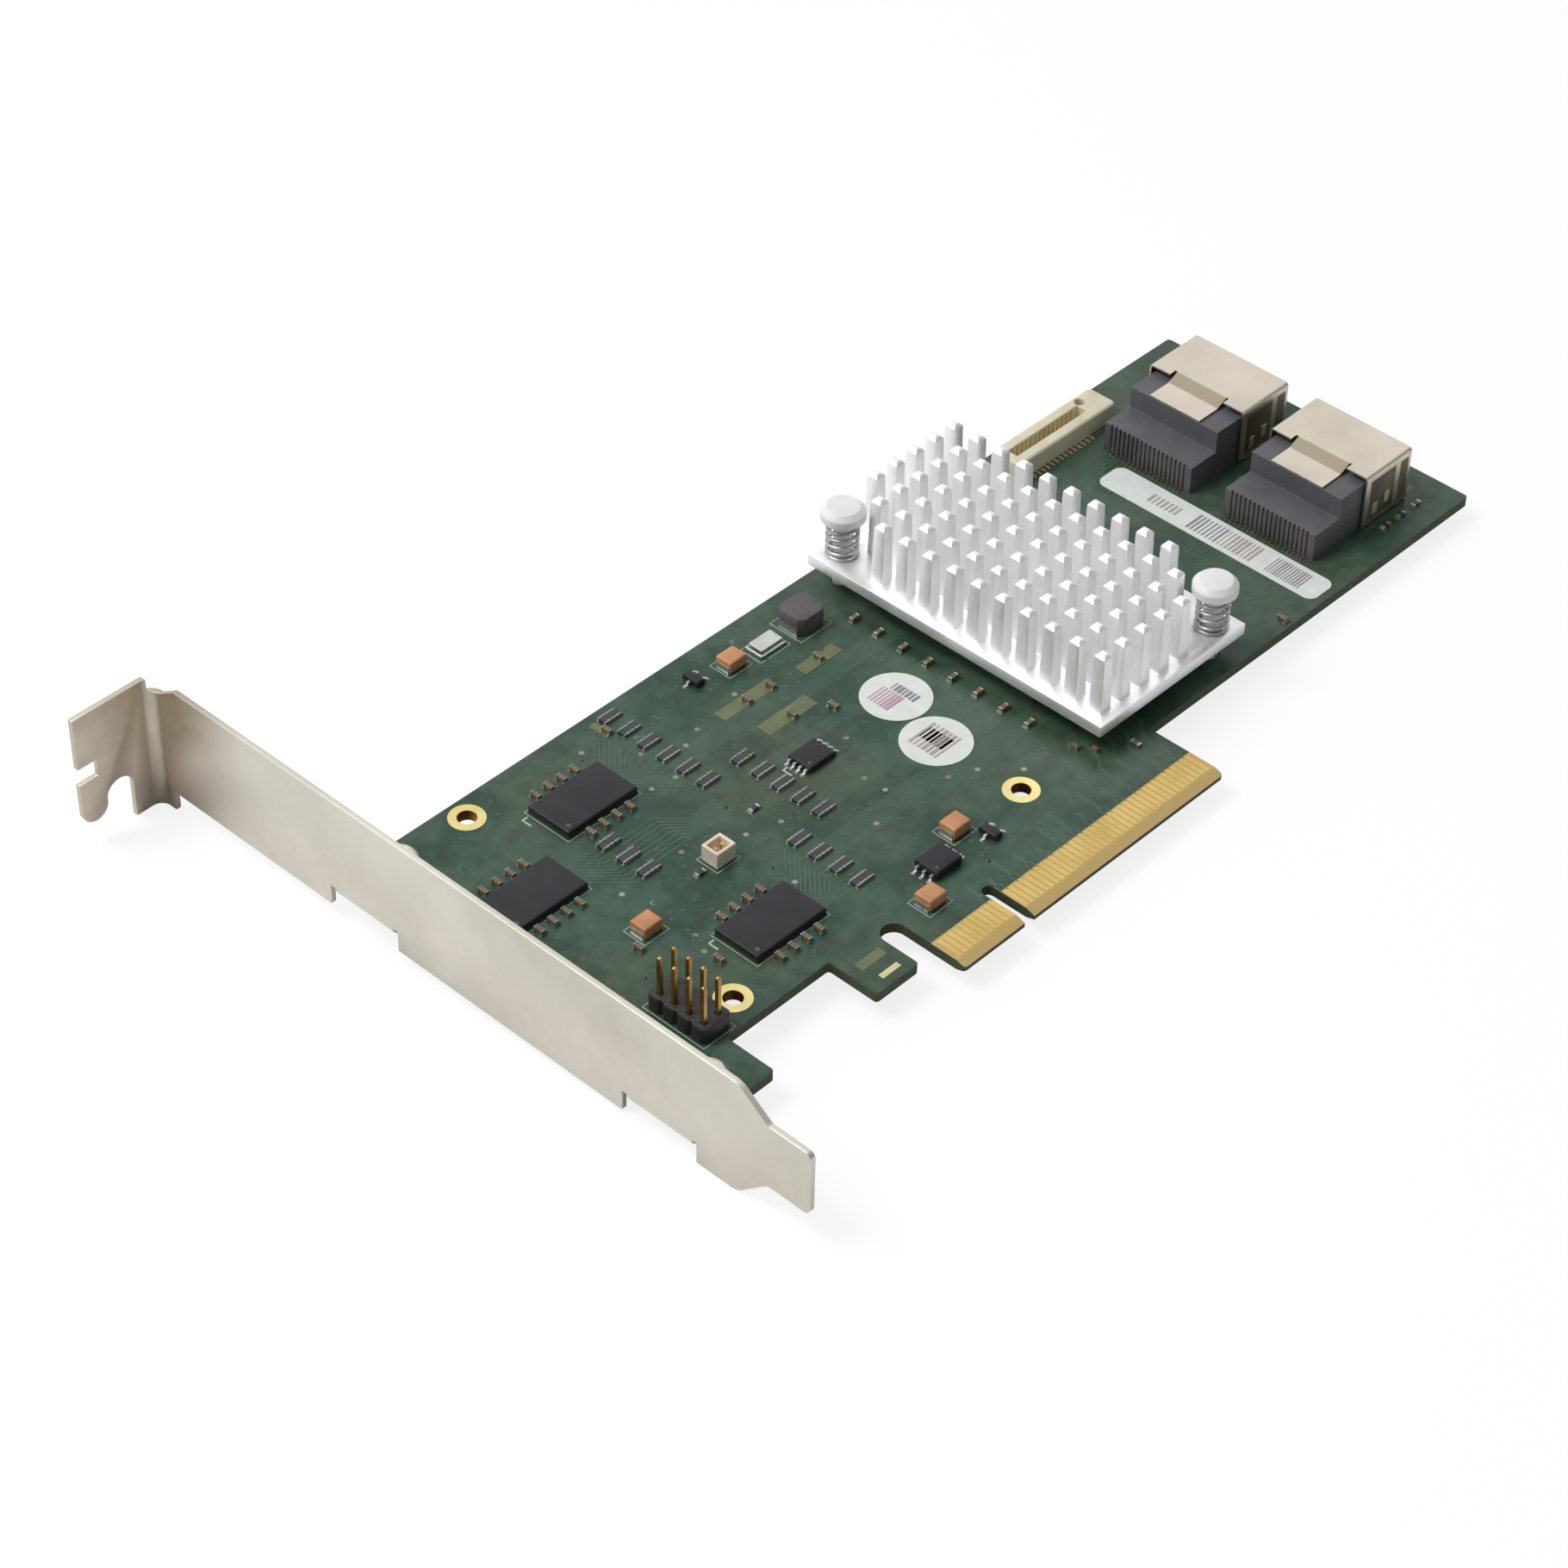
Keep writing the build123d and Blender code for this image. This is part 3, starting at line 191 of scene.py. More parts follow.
def mottle_effect():
    """Soft cloudy change between two colours."""
    tree, takes, gives = effect(
        "mottle",
        [
            ("Vector", "NodeSocketVector", None),
            ("Scale", "NodeSocketFloat", 200.0),
            ("Low", "NodeSocketFloat", 0.4),
            ("High", "NodeSocketFloat", 0.6),
            ("First", "NodeSocketColor", None),
            ("Second", "NodeSocketColor", None),
        ],
        [("Colour", "NodeSocketColor")],
    )
    cloud = place(
        tree, "ShaderNodeTexNoise", {"Vector": takes["Vector"], "Scale": takes["Scale"], "Detail": 5.0}
    )
    mask = ramp(tree, cloud.outputs["Fac"], takes["Low"], takes["High"])
    tree.links.new(blend(tree, mask, takes["First"], takes["Second"]), gives["Colour"])
    return tree


def grain_effect():
    """Fine raised grain, which can be drawn out along an axis."""
    tree, takes, gives = effect(
        "grain",
        [
            ("Vector", "NodeSocketVector", None),
            ("Stretch", "NodeSocketVector", (1.0, 1.0, 1.0)),
            ("Scale", "NodeSocketFloat", 3000.0),
            ("Depth", "NodeSocketFloat", 0.00002),
        ],
        [("Normal", "NodeSocketVector"), ("Value", "NodeSocketFloat")],
    )
    drawn = place(tree, "ShaderNodeMapping", {"Vector": takes["Vector"], "Scale": takes["Stretch"]})
    noise = place(
        tree,
        "ShaderNodeTexNoise",
        {"Vector": drawn.outputs["Vector"], "Scale": takes["Scale"], "Detail": 3.0},
    )
    bump = place(
        tree, "ShaderNodeBump", {"Height": noise.outputs["Fac"], "Distance": takes["Depth"], "Strength": 1.0}
    )
    tree.links.new(bump.outputs["Normal"], gives["Normal"])
    tree.links.new(noise.outputs["Fac"], gives["Value"])
    return tree


def edge_wear_and_reflection_effect():
    """A mask that is bright along outer edges, broken up by a little noise."""
    tree, takes, gives = effect(
        "edge_wear_and_reflection",
        [("Vector", "NodeSocketVector", None), ("Radius", "NodeSocketFloat", 0.0003)],
        [("Mask", "NodeSocketFloat")],
    )
    rounded = place(tree, "ShaderNodeBevel", {"Radius": takes["Radius"]}, samples=4)
    true_normal = place(tree, "ShaderNodeNewGeometry").outputs["Normal"]
    dot = place(tree, "ShaderNodeVectorMath", operation="DOT_PRODUCT")
    tree.links.new(rounded.outputs["Normal"], dot.inputs[0])
    tree.links.new(true_normal, dot.inputs[1])
    edge = ramp(tree, dot.outputs["Value"], 0.99, 0.8)
    breaks = place(tree, "ShaderNodeTexNoise", {"Vector": takes["Vector"], "Scale": 900.0})
    patchy = ramp(tree, breaks.outputs["Fac"], 0.35, 0.6, 0.3, 1.0)
    tree.links.new(sums(tree, "MULTIPLY", edge, patchy), gives["Mask"])
    return tree


mottle = mottle_effect()
grain = grain_effect()
edge_wear_and_reflection = edge_wear_and_reflection_effect()


def add_effect(tree, group, inputs):
    """An effect placed in a material with its own values."""
    made = tree.nodes.new("ShaderNodeGroup")
    made.node_tree = group
    for name, value in inputs.items():
        feed(tree, made.inputs[name], value)
    return made.outputs


def new_material(name):
    """A material with one Principled shader, and where it reads its place."""
    made = bpy.data.materials.new(name)
    made.use_nodes = True
    tree = made.node_tree
    shader = tree.nodes["Principled BSDF"]
    coords = place(tree, "ShaderNodeTexCoord").outputs
    return made, tree, shader.inputs, coords


def clouded(tree, coords, scale, low, high, first, second):
    """A tone that changes softly between two colours over a piece."""
    spans = {"Scale": scale, "Low": low, "High": high, "First": first, "Second": second}
    return add_effect(tree, mottle, {"Vector": coords["Object"], **spans})["Colour"]


def coat(tree, shader, coords, colour, gloss, grain_values):
    """A colour with a fine grain, and a roughness between two values that follows the grain."""
    fine = add_effect(tree, grain, {"Vector": coords["Object"], **grain_values})
    tree.links.new(colour, shader["Base Color"])
    tree.links.new(ramp(tree, fine["Value"], 0.3, 0.7, *gloss), shader["Roughness"])
    tree.links.new(fine["Normal"], shader["Normal"])


def plated_metal(name, bright, dull, roughness, stretch=(1, 1, 1), depth=4e-6, metallic=1.0):
    """Plated or drawn metal: cloudy tone, uneven gloss and a fine grain."""
    made, tree, shader, coords = new_material(name)
    tone = clouded(tree, coords, 160.0, 0.35, 0.65, bright, dull)
    grain_values = {"Stretch": stretch, "Scale": 2500.0, "Depth": depth}
    coat(tree, shader, coords, tone, (roughness - 0.06, roughness + 0.08), grain_values)
    shader["Metallic"].default_value = metallic
    return made


def moulded_plastic(name, colour, faded, roughness, depth=1.2e-5, edge=None, specular=0.5):
    """Moulded plastic: a little cloudy, fine spark grain, and, when an edge tone is given, paler along its
    edges for wear and a painted edge reflection.
    """
    made, tree, shader, coords = new_material(name)
    tone = clouded(tree, coords, 300.0, 0.3, 0.7, colour, faded)
    if edge:
        edge_wear_and_reflection_mask = add_effect(tree, edge_wear_and_reflection, {"Vector": coords["Object"], "Radius": 0.00012})
        tone = blend(tree, edge_wear_and_reflection_mask["Mask"], tone, edge)
    grain_values = {"Scale": 3500.0, "Depth": depth}
    coat(tree, shader, coords, tone, (roughness - 0.05, roughness + 0.08), grain_values)
    shader["Specular IOR Level"].default_value = specular
    return made


def board_mask_material(name, dark, light, laminate):
    """Solder mask on the two faces, and bare laminate on the cut edges and round the fingers."""
    made, tree, shader, coords = new_material(name)
    planes = clouded(tree, coords, 75.0, 0.45, 0.55, dark, light)
    dense = clouded(tree, coords, 38.0, 0.45, 0.72, planes, srgb(74, 82, 66))
    cloud = clouded(tree, coords, 420.0, 0.3, 0.75, (0.72, 0.72, 0.72, 1), (1.25, 1.25, 1.25, 1))
    masked = blend(tree, 1.0, dense, cloud, "MULTIPLY")
    flattened = place(tree, "ShaderNodeMapping", {"Vector": coords["Object"], "Scale": (1.0, 1.0, 14.0)})
    layers = place(
        tree,
        "ShaderNodeTexNoise",
        {"Vector": flattened.outputs["Vector"], "Scale": 700.0, "Detail": 3.0},
    )
    cut = blend(tree, ramp(tree, layers.outputs["Fac"], 0.35, 0.65), laminate, srgb(58, 68, 50))
    spot = place(tree, "ShaderNodeSeparateXYZ", {"Vector": coords["Object"]}).outputs
    past_fingers = ramp(tree, spot["Y"], bare_depth, bare_depth + 0.05 * MM)
    before_tongue = ramp(tree, spot["X"], tongue_front, tongue_front - 0.1 * MM)
    coated = sums(tree, "MAXIMUM", past_fingers, before_tongue)
    masked = blend(tree, coated, srgb(200, 170, 108), masked)
    normal_z = place(tree, "ShaderNodeSeparateXYZ", {"Vector": coords["Normal"]}).outputs["Z"]
    on_face = ramp(tree, sums(tree, "ABSOLUTE", normal_z), 0.4, 0.6)
    weave = add_effect(tree, grain, {"Vector": coords["Object"], "Scale": 1500.0, "Depth": 6e-6})
    tree.links.new(blend(tree, on_face, cut, masked), shader["Base Color"])
    tree.links.new(ramp(tree, on_face, 0.0, 1.0, 0.7, 0.33), shader["Roughness"])
    tree.links.new(weave["Normal"], shader["Normal"])
    shader["Specular IOR Level"].default_value = 0.32
    return made


def bracket_material():
    """Nickel plated sheet with faint rolling marks, clouded, and darker and browner near the fold from a
    painted reflection of the tab.
    """
    made, tree, shader, coords = new_material("bracket_nickel")
    tone = clouded(tree, coords, 45.0, 0.3, 0.7, srgb(224, 220, 209), srgb(206, 201, 189))
    height = place(tree, "ShaderNodeSeparateXYZ", {"Vector": coords["Object"]}).outputs["Y"]
    # Painted reflection: within fold_reach of the fold the sheet is blended towards a brown tone
    from_fold = sums(tree, "ABSOLUTE", sums(tree, "SUBTRACT", height, fold_height))
    painted_fold_reflection_mask = ramp(tree, from_fold, fold_reach, 0.0)
    with_painted_fold_reflection = blend(tree, sums(tree, "MULTIPLY", painted_fold_reflection_mask, 0.85), tone, srgb(176, 160, 142))
    edge_wear_and_reflection_mask = add_effect(tree, edge_wear_and_reflection, {"Vector": coords["Object"], "Radius": 0.0002})
    rolled = add_effect(
        tree,
        grain,
        {"Vector": coords["Object"], "Stretch": (1.0, 0.05, 1.0), "Scale": 1800.0, "Depth": 3e-6},
    )
    pitted = place(tree, "ShaderNodeTexNoise", {"Vector": coords["Object"], "Scale": 500.0, "Detail": 4.0})
    # Paler edges: wear, and a painted edge reflection
    tree.links.new(
        blend(tree, sums(tree, "MULTIPLY", edge_wear_and_reflection_mask["Mask"], 0.35), with_painted_fold_reflection, srgb(232, 230, 226)),
        shader["Base Color"],
    )
    tree.links.new(ramp(tree, pitted.outputs["Fac"], 0.3, 0.7, 0.36, 0.5), shader["Roughness"])
    tree.links.new(rolled["Normal"], shader["Normal"])
    shader["Metallic"].default_value = 1.0
    return made


def cage_material():
    """Tin plated sheet, clouded, and darkened by painted shade on the slope where the tongue steps down."""
    made, tree, shader, coords = new_material("cage_tin")
    tone = clouded(tree, coords, 110.0, 0.35, 0.65, srgb(220, 211, 196), srgb(206, 197, 183))
    spot = place(tree, "ShaderNodeSeparateXYZ", {"Vector": coords["Object"]}).outputs
    slope_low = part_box("sas_cage_lower")[1].x - slope_setback
    before = ramp(tree, spot["X"], slope_low, slope_low + 0.2 * MM)
    behind = ramp(tree, spot["X"], slope_low + slope_length, slope_low + slope_length - 0.2 * MM)
    on_top = ramp(tree, spot["Z"], tongue_level, tongue_level + 0.3 * MM)
    within = []
    for side in ("upper", "lower"):
        low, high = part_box(f"sas_cage_{side}")
        away = sums(tree, "ABSOLUTE", sums(tree, "SUBTRACT", spot["Y"], (low.y + high.y) / 2))
        within.append(ramp(tree, away, tongue_half + 0.1 * MM, tongue_half))
    on_tongue = sums(tree, "MULTIPLY", on_top, sums(tree, "MAXIMUM", *within))
    # Painted shade: the slope of each tongue is blended towards a dark brown tone
    step = sums(tree, "MULTIPLY", sums(tree, "MULTIPLY", before, behind), on_tongue)
    with_painted_slope_shade = blend(tree, sums(tree, "MULTIPLY", step, 0.7), tone, srgb(150, 136, 108))
    coat(tree, shader, coords, with_painted_slope_shade, (0.28, 0.38), {"Scale": 2500.0, "Depth": 2e-6})
    shader["Metallic"].default_value = 1.0
    return made


def label_material(name, paper, shade):
    """Coated paper with a faint fibre and a little handling grime."""
    made, tree, shader, coords = new_material(name)
    tone = clouded(tree, coords, 500.0, 0.3, 0.8, paper, shade)
    coat(tree, shader, coords, tone, (0.42, 0.58), {"Scale": 5000.0, "Depth": 6e-6})
    return made


def make_finishes():
    """Every finish of the card, by the name of its slot in the record or of its thin layer."""
    cut_edge = srgb(78, 86, 62)
    finishes = {
        "board_mask": board_mask_material("solder_mask", srgb(45, 73, 58), srgb(62, 90, 74), cut_edge),
        "track": moulded_plastic("mask_over_copper", srgb(60, 92, 74), srgb(72, 100, 80), 0.34, depth=4e-6),
        "pour_olive": moulded_plastic("thin_mask_on_copper", srgb(110, 116, 74), srgb(92, 102, 68), 0.36),
        "gold": plated_metal("gold_plate", srgb(222, 194, 124), srgb(204, 174, 102), 0.32),
        "ring_gold": plated_metal("ring_gold", srgb(240, 226, 160), srgb(222, 204, 134), 0.34),
        "contact_dull": plated_metal("worn_contacts", srgb(128, 120, 104), srgb(98, 92, 82), 0.5),
        "contact_pale": plated_metal("pale_contacts", srgb(226, 214, 178), srgb(204, 190, 150), 0.42),
        "bracket_steel": bracket_material(),
        "screw_steel": plated_metal("zinc_screws", srgb(214, 213, 210), srgb(188, 188, 186), 0.3),
        "heat_sink_aluminium": plated_metal(
            "anodised_aluminium", srgb(252, 252, 251), srgb(240, 241, 241), 0.46, (1, 1, 0.15), metallic=0.85
        ),
        "thermal_pad": moulded_plastic("thermal_pad", srgb(158, 160, 166), srgb(144, 146, 152), 0.7),
        # The substrate's dark green is its own colour, darkened further as painted shade under the heat sink;
        # the chips' laminate bands share it
        "substrate": board_mask_material("substrate", srgb(30, 50, 38), srgb(38, 60, 46), srgb(44, 58, 42)),
        "lid_metal": plated_metal("lid_nickel", srgb(150, 150, 150), srgb(130, 130, 132), 0.4),
        "push_pin_plastic": moulded_plastic("white_nylon", srgb(242, 243, 240), srgb(228, 230, 226), 0.42),
        "spring_steel": plated_metal("spring_wire", srgb(196, 196, 194), srgb(160, 160, 160), 0.3),
        # The chips' reddish-brown edge tone is a painted reflection along their edges
        "chip_black": moulded_plastic(
            "chip_moulding", srgb(29, 27, 31), srgb(41, 38, 43), 0.5, edge=srgb(86, 74, 76), specular=0.36
        ),
        "housing_black": moulded_plastic(
            "housing_moulding", srgb(84, 83, 89), srgb(96, 95, 100), 0.5, edge=srgb(118, 114, 124)
        ),
        "cage_metal": cage_material(),
        "connector_cream": moulded_plastic("cream_moulding", srgb(228, 222, 198), srgb(214, 206, 178), 0.45),
        "header_black": moulded_plastic("header_moulding", srgb(36, 35, 36), srgb(46, 44, 46), 0.5),
        "header_gold": plated_metal("header_gold", srgb(206, 172, 104), srgb(158, 124, 72), 0.34),
        "label_white": label_material("label_paper", srgb(230, 234, 230), srgb(214, 220, 214)),
        "label_grey": label_material("label_grey_print", srgb(120, 118, 122), srgb(150, 148, 152)),
        "label_rose": label_material("label_rose_print", srgb(176, 136, 160), srgb(194, 160, 180)),
        "label_tan": label_material("label_tan_print", srgb(164, 152, 150), srgb(184, 174, 172)),
        "ink": label_material("white_ink", srgb(196, 204, 194), srgb(172, 184, 172)),
        "ink_cream": label_material("cream_ink", srgb(216, 212, 160), srgb(200, 198, 150)),
        "solder_tin": plated_metal("solder", srgb(200, 200, 196), srgb(166, 168, 164), 0.36),
        "solder_dull": plated_metal("aged_solder", srgb(160, 162, 154), srgb(126, 130, 122), 0.46),
        "ceramic_tan": moulded_plastic("ceramic", srgb(128, 104, 78), srgb(106, 88, 66), 0.42),
        "ceramic_pale": moulded_plastic("bare_ceramic", srgb(150, 152, 146), srgb(130, 134, 128), 0.5),
        "resistor_dark": moulded_plastic("resistor_glaze", srgb(42, 44, 46), srgb(54, 56, 58), 0.3),
        "tantalum_orange": moulded_plastic(
            "tantalum_moulding", srgb(204, 148, 104), srgb(184, 126, 86), 0.42
        ),
        "ferrite": moulded_plastic("ferrite", srgb(80, 76, 77), srgb(96, 90, 92), 0.6),
        "can_metal": plated_metal("crystal_can", srgb(216, 216, 212), srgb(196, 196, 192), 0.24),
        "header_white": moulded_plastic("white_moulding", srgb(240, 228, 214), srgb(226, 208, 192), 0.45),
        "plated_brown": plated_metal("plated_bore", srgb(172, 116, 66), srgb(128, 82, 46), 0.45),
    }
    return finishes


finishes = make_finishes()


# Mesh building


def rest_on_root(obj, finish):
    """Puts a piece on the card with its finish, attached to the root."""
    obj.data.materials.clear()
    obj.data.materials.append(finishes[finish])
    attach(obj, "root")
    return obj


def piece_from(name, mesh_work, finish, smooth=35.0):
    """A finished bmesh as a piece: smooth but for its sharp edges."""
    limit = math.radians(smooth)
    for edge in mesh_work.edges:
        edge.smooth = len(edge.link_faces) == 2 and edge.calc_face_angle(0.0) < limit
    for patch in mesh_work.faces:
        patch.smooth = True
    mesh = bpy.data.meshes.new(name)
    mesh_work.to_mesh(mesh)
    mesh_work.free()
    obj = bpy.data.objects.new(name, mesh)
    bpy.context.scene.collection.objects.link(obj)
    return rest_on_root(obj, finish)


def merged_copy(node):
    """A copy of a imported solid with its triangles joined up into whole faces."""
    work = bmesh.new()
    work.from_mesh(nodes[node].data)
    bmesh.ops.remove_doubles(work, verts=work.verts, dist=0.0005 * MM)
    bmesh.ops.dissolve_limit(
        work, angle_limit=math.radians(0.5), verts=work.verts, edges=work.edges, delimit={"NORMAL"}
    )
    return work


def round_edges(work, width, over=40.0, segments=2):
    """Rounds every edge that turns by more than a few degrees."""
    sharp = [e for e in work.edges if len(e.link_faces) == 2 and e.calc_face_angle(0.0) > math.radians(over)]
    bmesh.ops.bevel(
        work,
        geom=sharp,
        offset=width,
        offset_type="OFFSET",
        affect="EDGES",
        segments=segments,
        profile=0.5,
        material=-1,
        clamp_overlap=True,
    )


def rounded_node(node, width, finish, over=40.0, segments=2):
    """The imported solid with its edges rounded, in place of the plain one."""
    work = merged_copy(node)
    round_edges(work, width, over, segments)
    piece = piece_from(f"{node}_rounded", work, finish)
    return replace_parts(piece, node)


def paint(node, finish):
    """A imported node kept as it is, with its finish."""
    data = nodes[node].data
    data.materials.clear()
    data.materials.append(finishes[finish])


def wire_curve(name, radius, resolution):
    """An empty curve with a round section and closed ends."""
    curve = bpy.data.curves.new(name, "CURVE")
    curve.dimensions = "3D"
    curve.bevel_depth = radius
    curve.bevel_resolution = resolution
    curve.use_fill_caps = True
    return curve


def curve_mesh(name, curve):
    """A curve turned to a bmesh."""
    holder = bpy.data.objects.new(name, curve)
    bpy.context.scene.collection.objects.link(holder)
    bpy.context.view_layer.update()
    mesh = bpy.data.meshes.new_from_object(holder.evaluated_get(bpy.context.evaluated_depsgraph_get()))
    bpy.data.objects.remove(holder)
    work = bmesh.new()
    work.from_mesh(mesh)
    bpy.data.meshes.remove(mesh)
    return work


def ribbons(name, paths, width, height, level, finish, closed=False):
    """Flat raised lines along paths on a face of the board."""
    curve = wire_curve(name, width / 2, 0)
    curve.twist_mode = "Z_UP"
    for path in paths:
        spline = curve.splines.new("POLY")
        spline.points.add(len(path) - 1)
        for point, (x, y) in zip(spline.points, path):
            point.co = (x, y, 0, 1)
        spline.use_cyclic_u = closed
    work = curve_mesh(name, curve)
    bmesh.ops.scale(work, vec=(1, 1, 2 * height / width), verts=work.verts)
    bmesh.ops.translate(work, vec=(0, 0, level), verts=work.verts)
    bmesh.ops.recalc_face_normals(work, faces=work.faces)
    return piece_from(name, work, finish, smooth=10.0)


def add_block(work, centre, size):
    """One box in a bmesh."""
    shape = Matrix.Translation(centre) @ Matrix.Diagonal((*size, 1))
    return bmesh.ops.create_cube(work, size=1, matrix=shape)["verts"]


def add_disc(work, centre, radius, height, segments=16, top=None):
    """One round plate, or a cone where its top has a radius of its own."""
    shape = Matrix.Translation(Vector(centre) + UP * height / 2)
    bmesh.ops.create_cone(
        work,
        cap_ends=True,
        segments=segments,
        radius1=radius,
        radius2=radius if top is None else top,
        depth=height,
        matrix=shape,
    )


def add_mound(work, foot_at, foot, top, height):
    """A low block with a top of another size, such as solder against a plated end."""
    x, y, z = foot_at
    for vert in add_block(work, (x, y, z + height / 2), (*foot, height)):
        if vert.co.z > z + height / 2:
            vert.co.x = x + (vert.co.x - x) * top[0] / foot[0]
            vert.co.y = y + (vert.co.y - y) * top[1] / foot[1]


def add_ring(work, centre, section, steps=32):
    """A ring: its section, given as radii and heights, spun round an upright axis."""
    verts = [work.verts.new((centre[0] + radius, centre[1], height)) for radius, height in section]
    edges = [work.edges.new((verts[index - 1], verts[index])) for index in range(len(verts))]
    bmesh.ops.spin(
        work,
        geom=verts + edges,
        cent=(centre[0], centre[1], 0),
        axis=UP,
        angle=math.tau,
        steps=steps,
        use_merge=True,
    )
    bmesh.ops.recalc_face_normals(work, faces=work.faces)


def add_bars(work, low, high, count, fill):
    """Parallel bars of uneven width that lie across a label, between two corners."""
    step = (high[1] - low[1]) / count
    for index in range(count):
        middle = ((low[0] + high[0]) / 2, low[1] + (index + 0.5) * step, label_top)
        add_block(work, middle, (high[0] - low[0], step * fill * random.uniform(0.6, 1.4), ink))


def spots_of(node):
    """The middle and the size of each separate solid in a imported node, from left to right."""
    work = bmesh.new()
    work.from_mesh(nodes[node].data)
    bmesh.ops.remove_doubles(work, verts=work.verts, dist=0.0005 * MM)
    left = set(work.verts)
    found = []
    while left:
        start = left.pop()
        group, edge_of_search = {start}, [start]
        while edge_of_search:
            vert = edge_of_search.pop()
            for edge in vert.link_edges:
                other = edge.other_vert(vert)
                if other not in group:
                    group.add(other)
                    edge_of_search.append(other)
        left -= group
        low = Vector([min(v.co[axis] for v in group) for axis in range(3)])
        high = Vector([max(v.co[axis] for v in group) for axis in range(3)])
        found.append(((low + high) / 2, high - low))
    work.free()
    return sorted(found, key=lambda spot: (round(spot[0].x, 5), round(spot[0].y, 5)))


# Tracks, vias and ink on the board


def bus(start, end, count, start_pitch=track_pitch, end_pitch=track_pitch, along_x=True):
    """Tracks side by side: straight out, one slanting step, straight in."""
    paths = []
    for index in range(count):
        side = index - (count - 1) / 2
        if along_x:
            a, b = start[0], end[0]
            p, q = start[1] + side * start_pitch, end[1] + side * end_pitch
        else:
            a, b = start[1], end[1]
            p, q = start[0] + side * start_pitch, end[0] + side * end_pitch
        step = abs(q - p)
        way = 1 if b > a else -1
        lean = -side * track_pitch * 0.41 * (1 if q > p else -1) * way
        middle = (a + b) / 2 + lean
        line = [(a, p), (middle - way * step / 2, p), (middle + way * step / 2, q), (b, q)]
        paths.append(line if along_x else [(v, u) for u, v in line])
    return paths


def front_tracks():
    """Routes on the component face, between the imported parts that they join."""
    paths = []
    sink_low, sink_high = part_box("heat_sink")
    sink_edge = sink_low.x + 1 * MM
    near_row, middle_row, far_row = sorted({round(spot.x, 4) for spot, size in spots_of("resistor_arrays")})
    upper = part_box("memory_chip_upper")
    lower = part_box("memory_chip_lower")
    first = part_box("memory_chip_front")
    edge = 1.0 * MM
    top_y = 57.3 * MM
    low_y = 25.8 * MM
    # Memory chips to their resistor arrays
    paths += bus((upper[1].x, 56.8 * MM), (middle_row - edge, top_y), 17, 0.4 * MM, 1.2 * MM)
    paths += bus((lower[1].x, 22.9 * MM), (middle_row - edge, low_y), 13, 0.45 * MM, 0.95 * MM)
    paths += bus((first[1].x, 48.2 * MM), (near_row - edge, 45.0 * MM), 10, 0.5 * MM, 0.9 * MM)
    # Resistor arrays onwards to the controller
    paths += bus((middle_row + edge, 53.5 * MM), (sink_edge, 51.8 * MM), 8)
    paths += bus((far_row + edge, 44.6 * MM), (sink_edge, 43.6 * MM), 5)
    paths += bus((far_row + edge, 34.6 * MM), (sink_edge, 35.5 * MM), 10)
    paths += bus((middle_row + edge, 27.3 * MM), (sink_edge, 25.6 * MM), 9)
    paths += bus((near_row + edge, 45.0 * MM), (middle_row - 2 * edge, 43.2 * MM), 8, 0.9 * MM)
    # Controller to the two cable sockets
    for side in ("upper", "lower"):
        low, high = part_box(f"sas_contacts_{side}")
        middle_y = (low.y + high.y) / 2
        start = (sink_high.x - 1 * MM, middle_y * 0.7 + 12.2 * MM)
        paths += bus(start, (low.x, middle_y), 18, 0.42 * MM, 0.8 * MM)
    return paths


def finger_tracks():
    """Pairs from the gold fingers: the rear ones run under the heat sink, the others end short."""
    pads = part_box("edge_contacts")
    sink_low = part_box("heat_sink")[0]
    paths = []
    for index in range(14):
        x = pads[1].x - 1.35 * MM - index * 3 * MM
        for side in (-0.5, 0.5):
            a = x + side * MM
            b = x + side * pair_gap
            turn = pads[1].y + 1.2 * MM
            path = [(a, pads[1].y), (a, turn), (b, turn + abs(b - a))]
            if x > sink_low.x - 3 * MM:
                path += [(b, 12.2 * MM), (b + 2.5 * MM, 14.7 * MM), (b + 2.5 * MM, sink_low.y + 3 * MM)]
            else:
                path += [(b, (8.6 + 1.1 * (index % 3)) * MM)]
            paths.append(path)
    return paths


def back_tracks():
    """Long routes on the solder face."""
    paths = []
    paths += bus((24 * MM, 60 * MM), (92 * MM, 55 * MM), 14)
    paths += bus((26 * MM, 40 * MM), (90 * MM, 44 * MM), 12)
    paths += bus((22 * MM, 26 * MM), (90 * MM, 30 * MM), 10)
    paths += bus((118 * MM, 52 * MM), (150 * MM, 50.2 * MM), 12, end_pitch=0.8 * MM)
    paths += bus((118 * MM, 30 * MM), (150 * MM, 27.7 * MM), 12, end_pitch=0.8 * MM)
    paths += bus((124 * MM, 20 * MM), (127 * MM, 64 * MM), 6, along_x=False)
    return paths


def tracks():
    """Copper tracks under the mask on both faces."""
    front = front_tracks() + finger_tracks()
    ribbons("tracks_front", front, track_width, copper, face, "track")
    ribbons("tracks_back", back_tracks(), track_width, copper, back, "track")
    return front


def footprints():
    """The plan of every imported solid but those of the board, the bracket and the fingers."""
    plans = []
    for node in nodes:
        if node in ("circuit_board", "bracket", "edge_contacts", "pin_header_base"):
            continue
        for middle, size in spots_of(node):
            plans.append((middle - size / 2, middle + size / 2))
    plans.append(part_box("pin_header_base"))
    return plans


def is_free(spot, plans, margin):
    """Whether a spot on the board is clear of the parts that stand there."""
    x, y = spot
    return not any(
        low.x - margin < x < high.x + margin and low.y - margin < y < high.y + margin for low, high in plans
    )


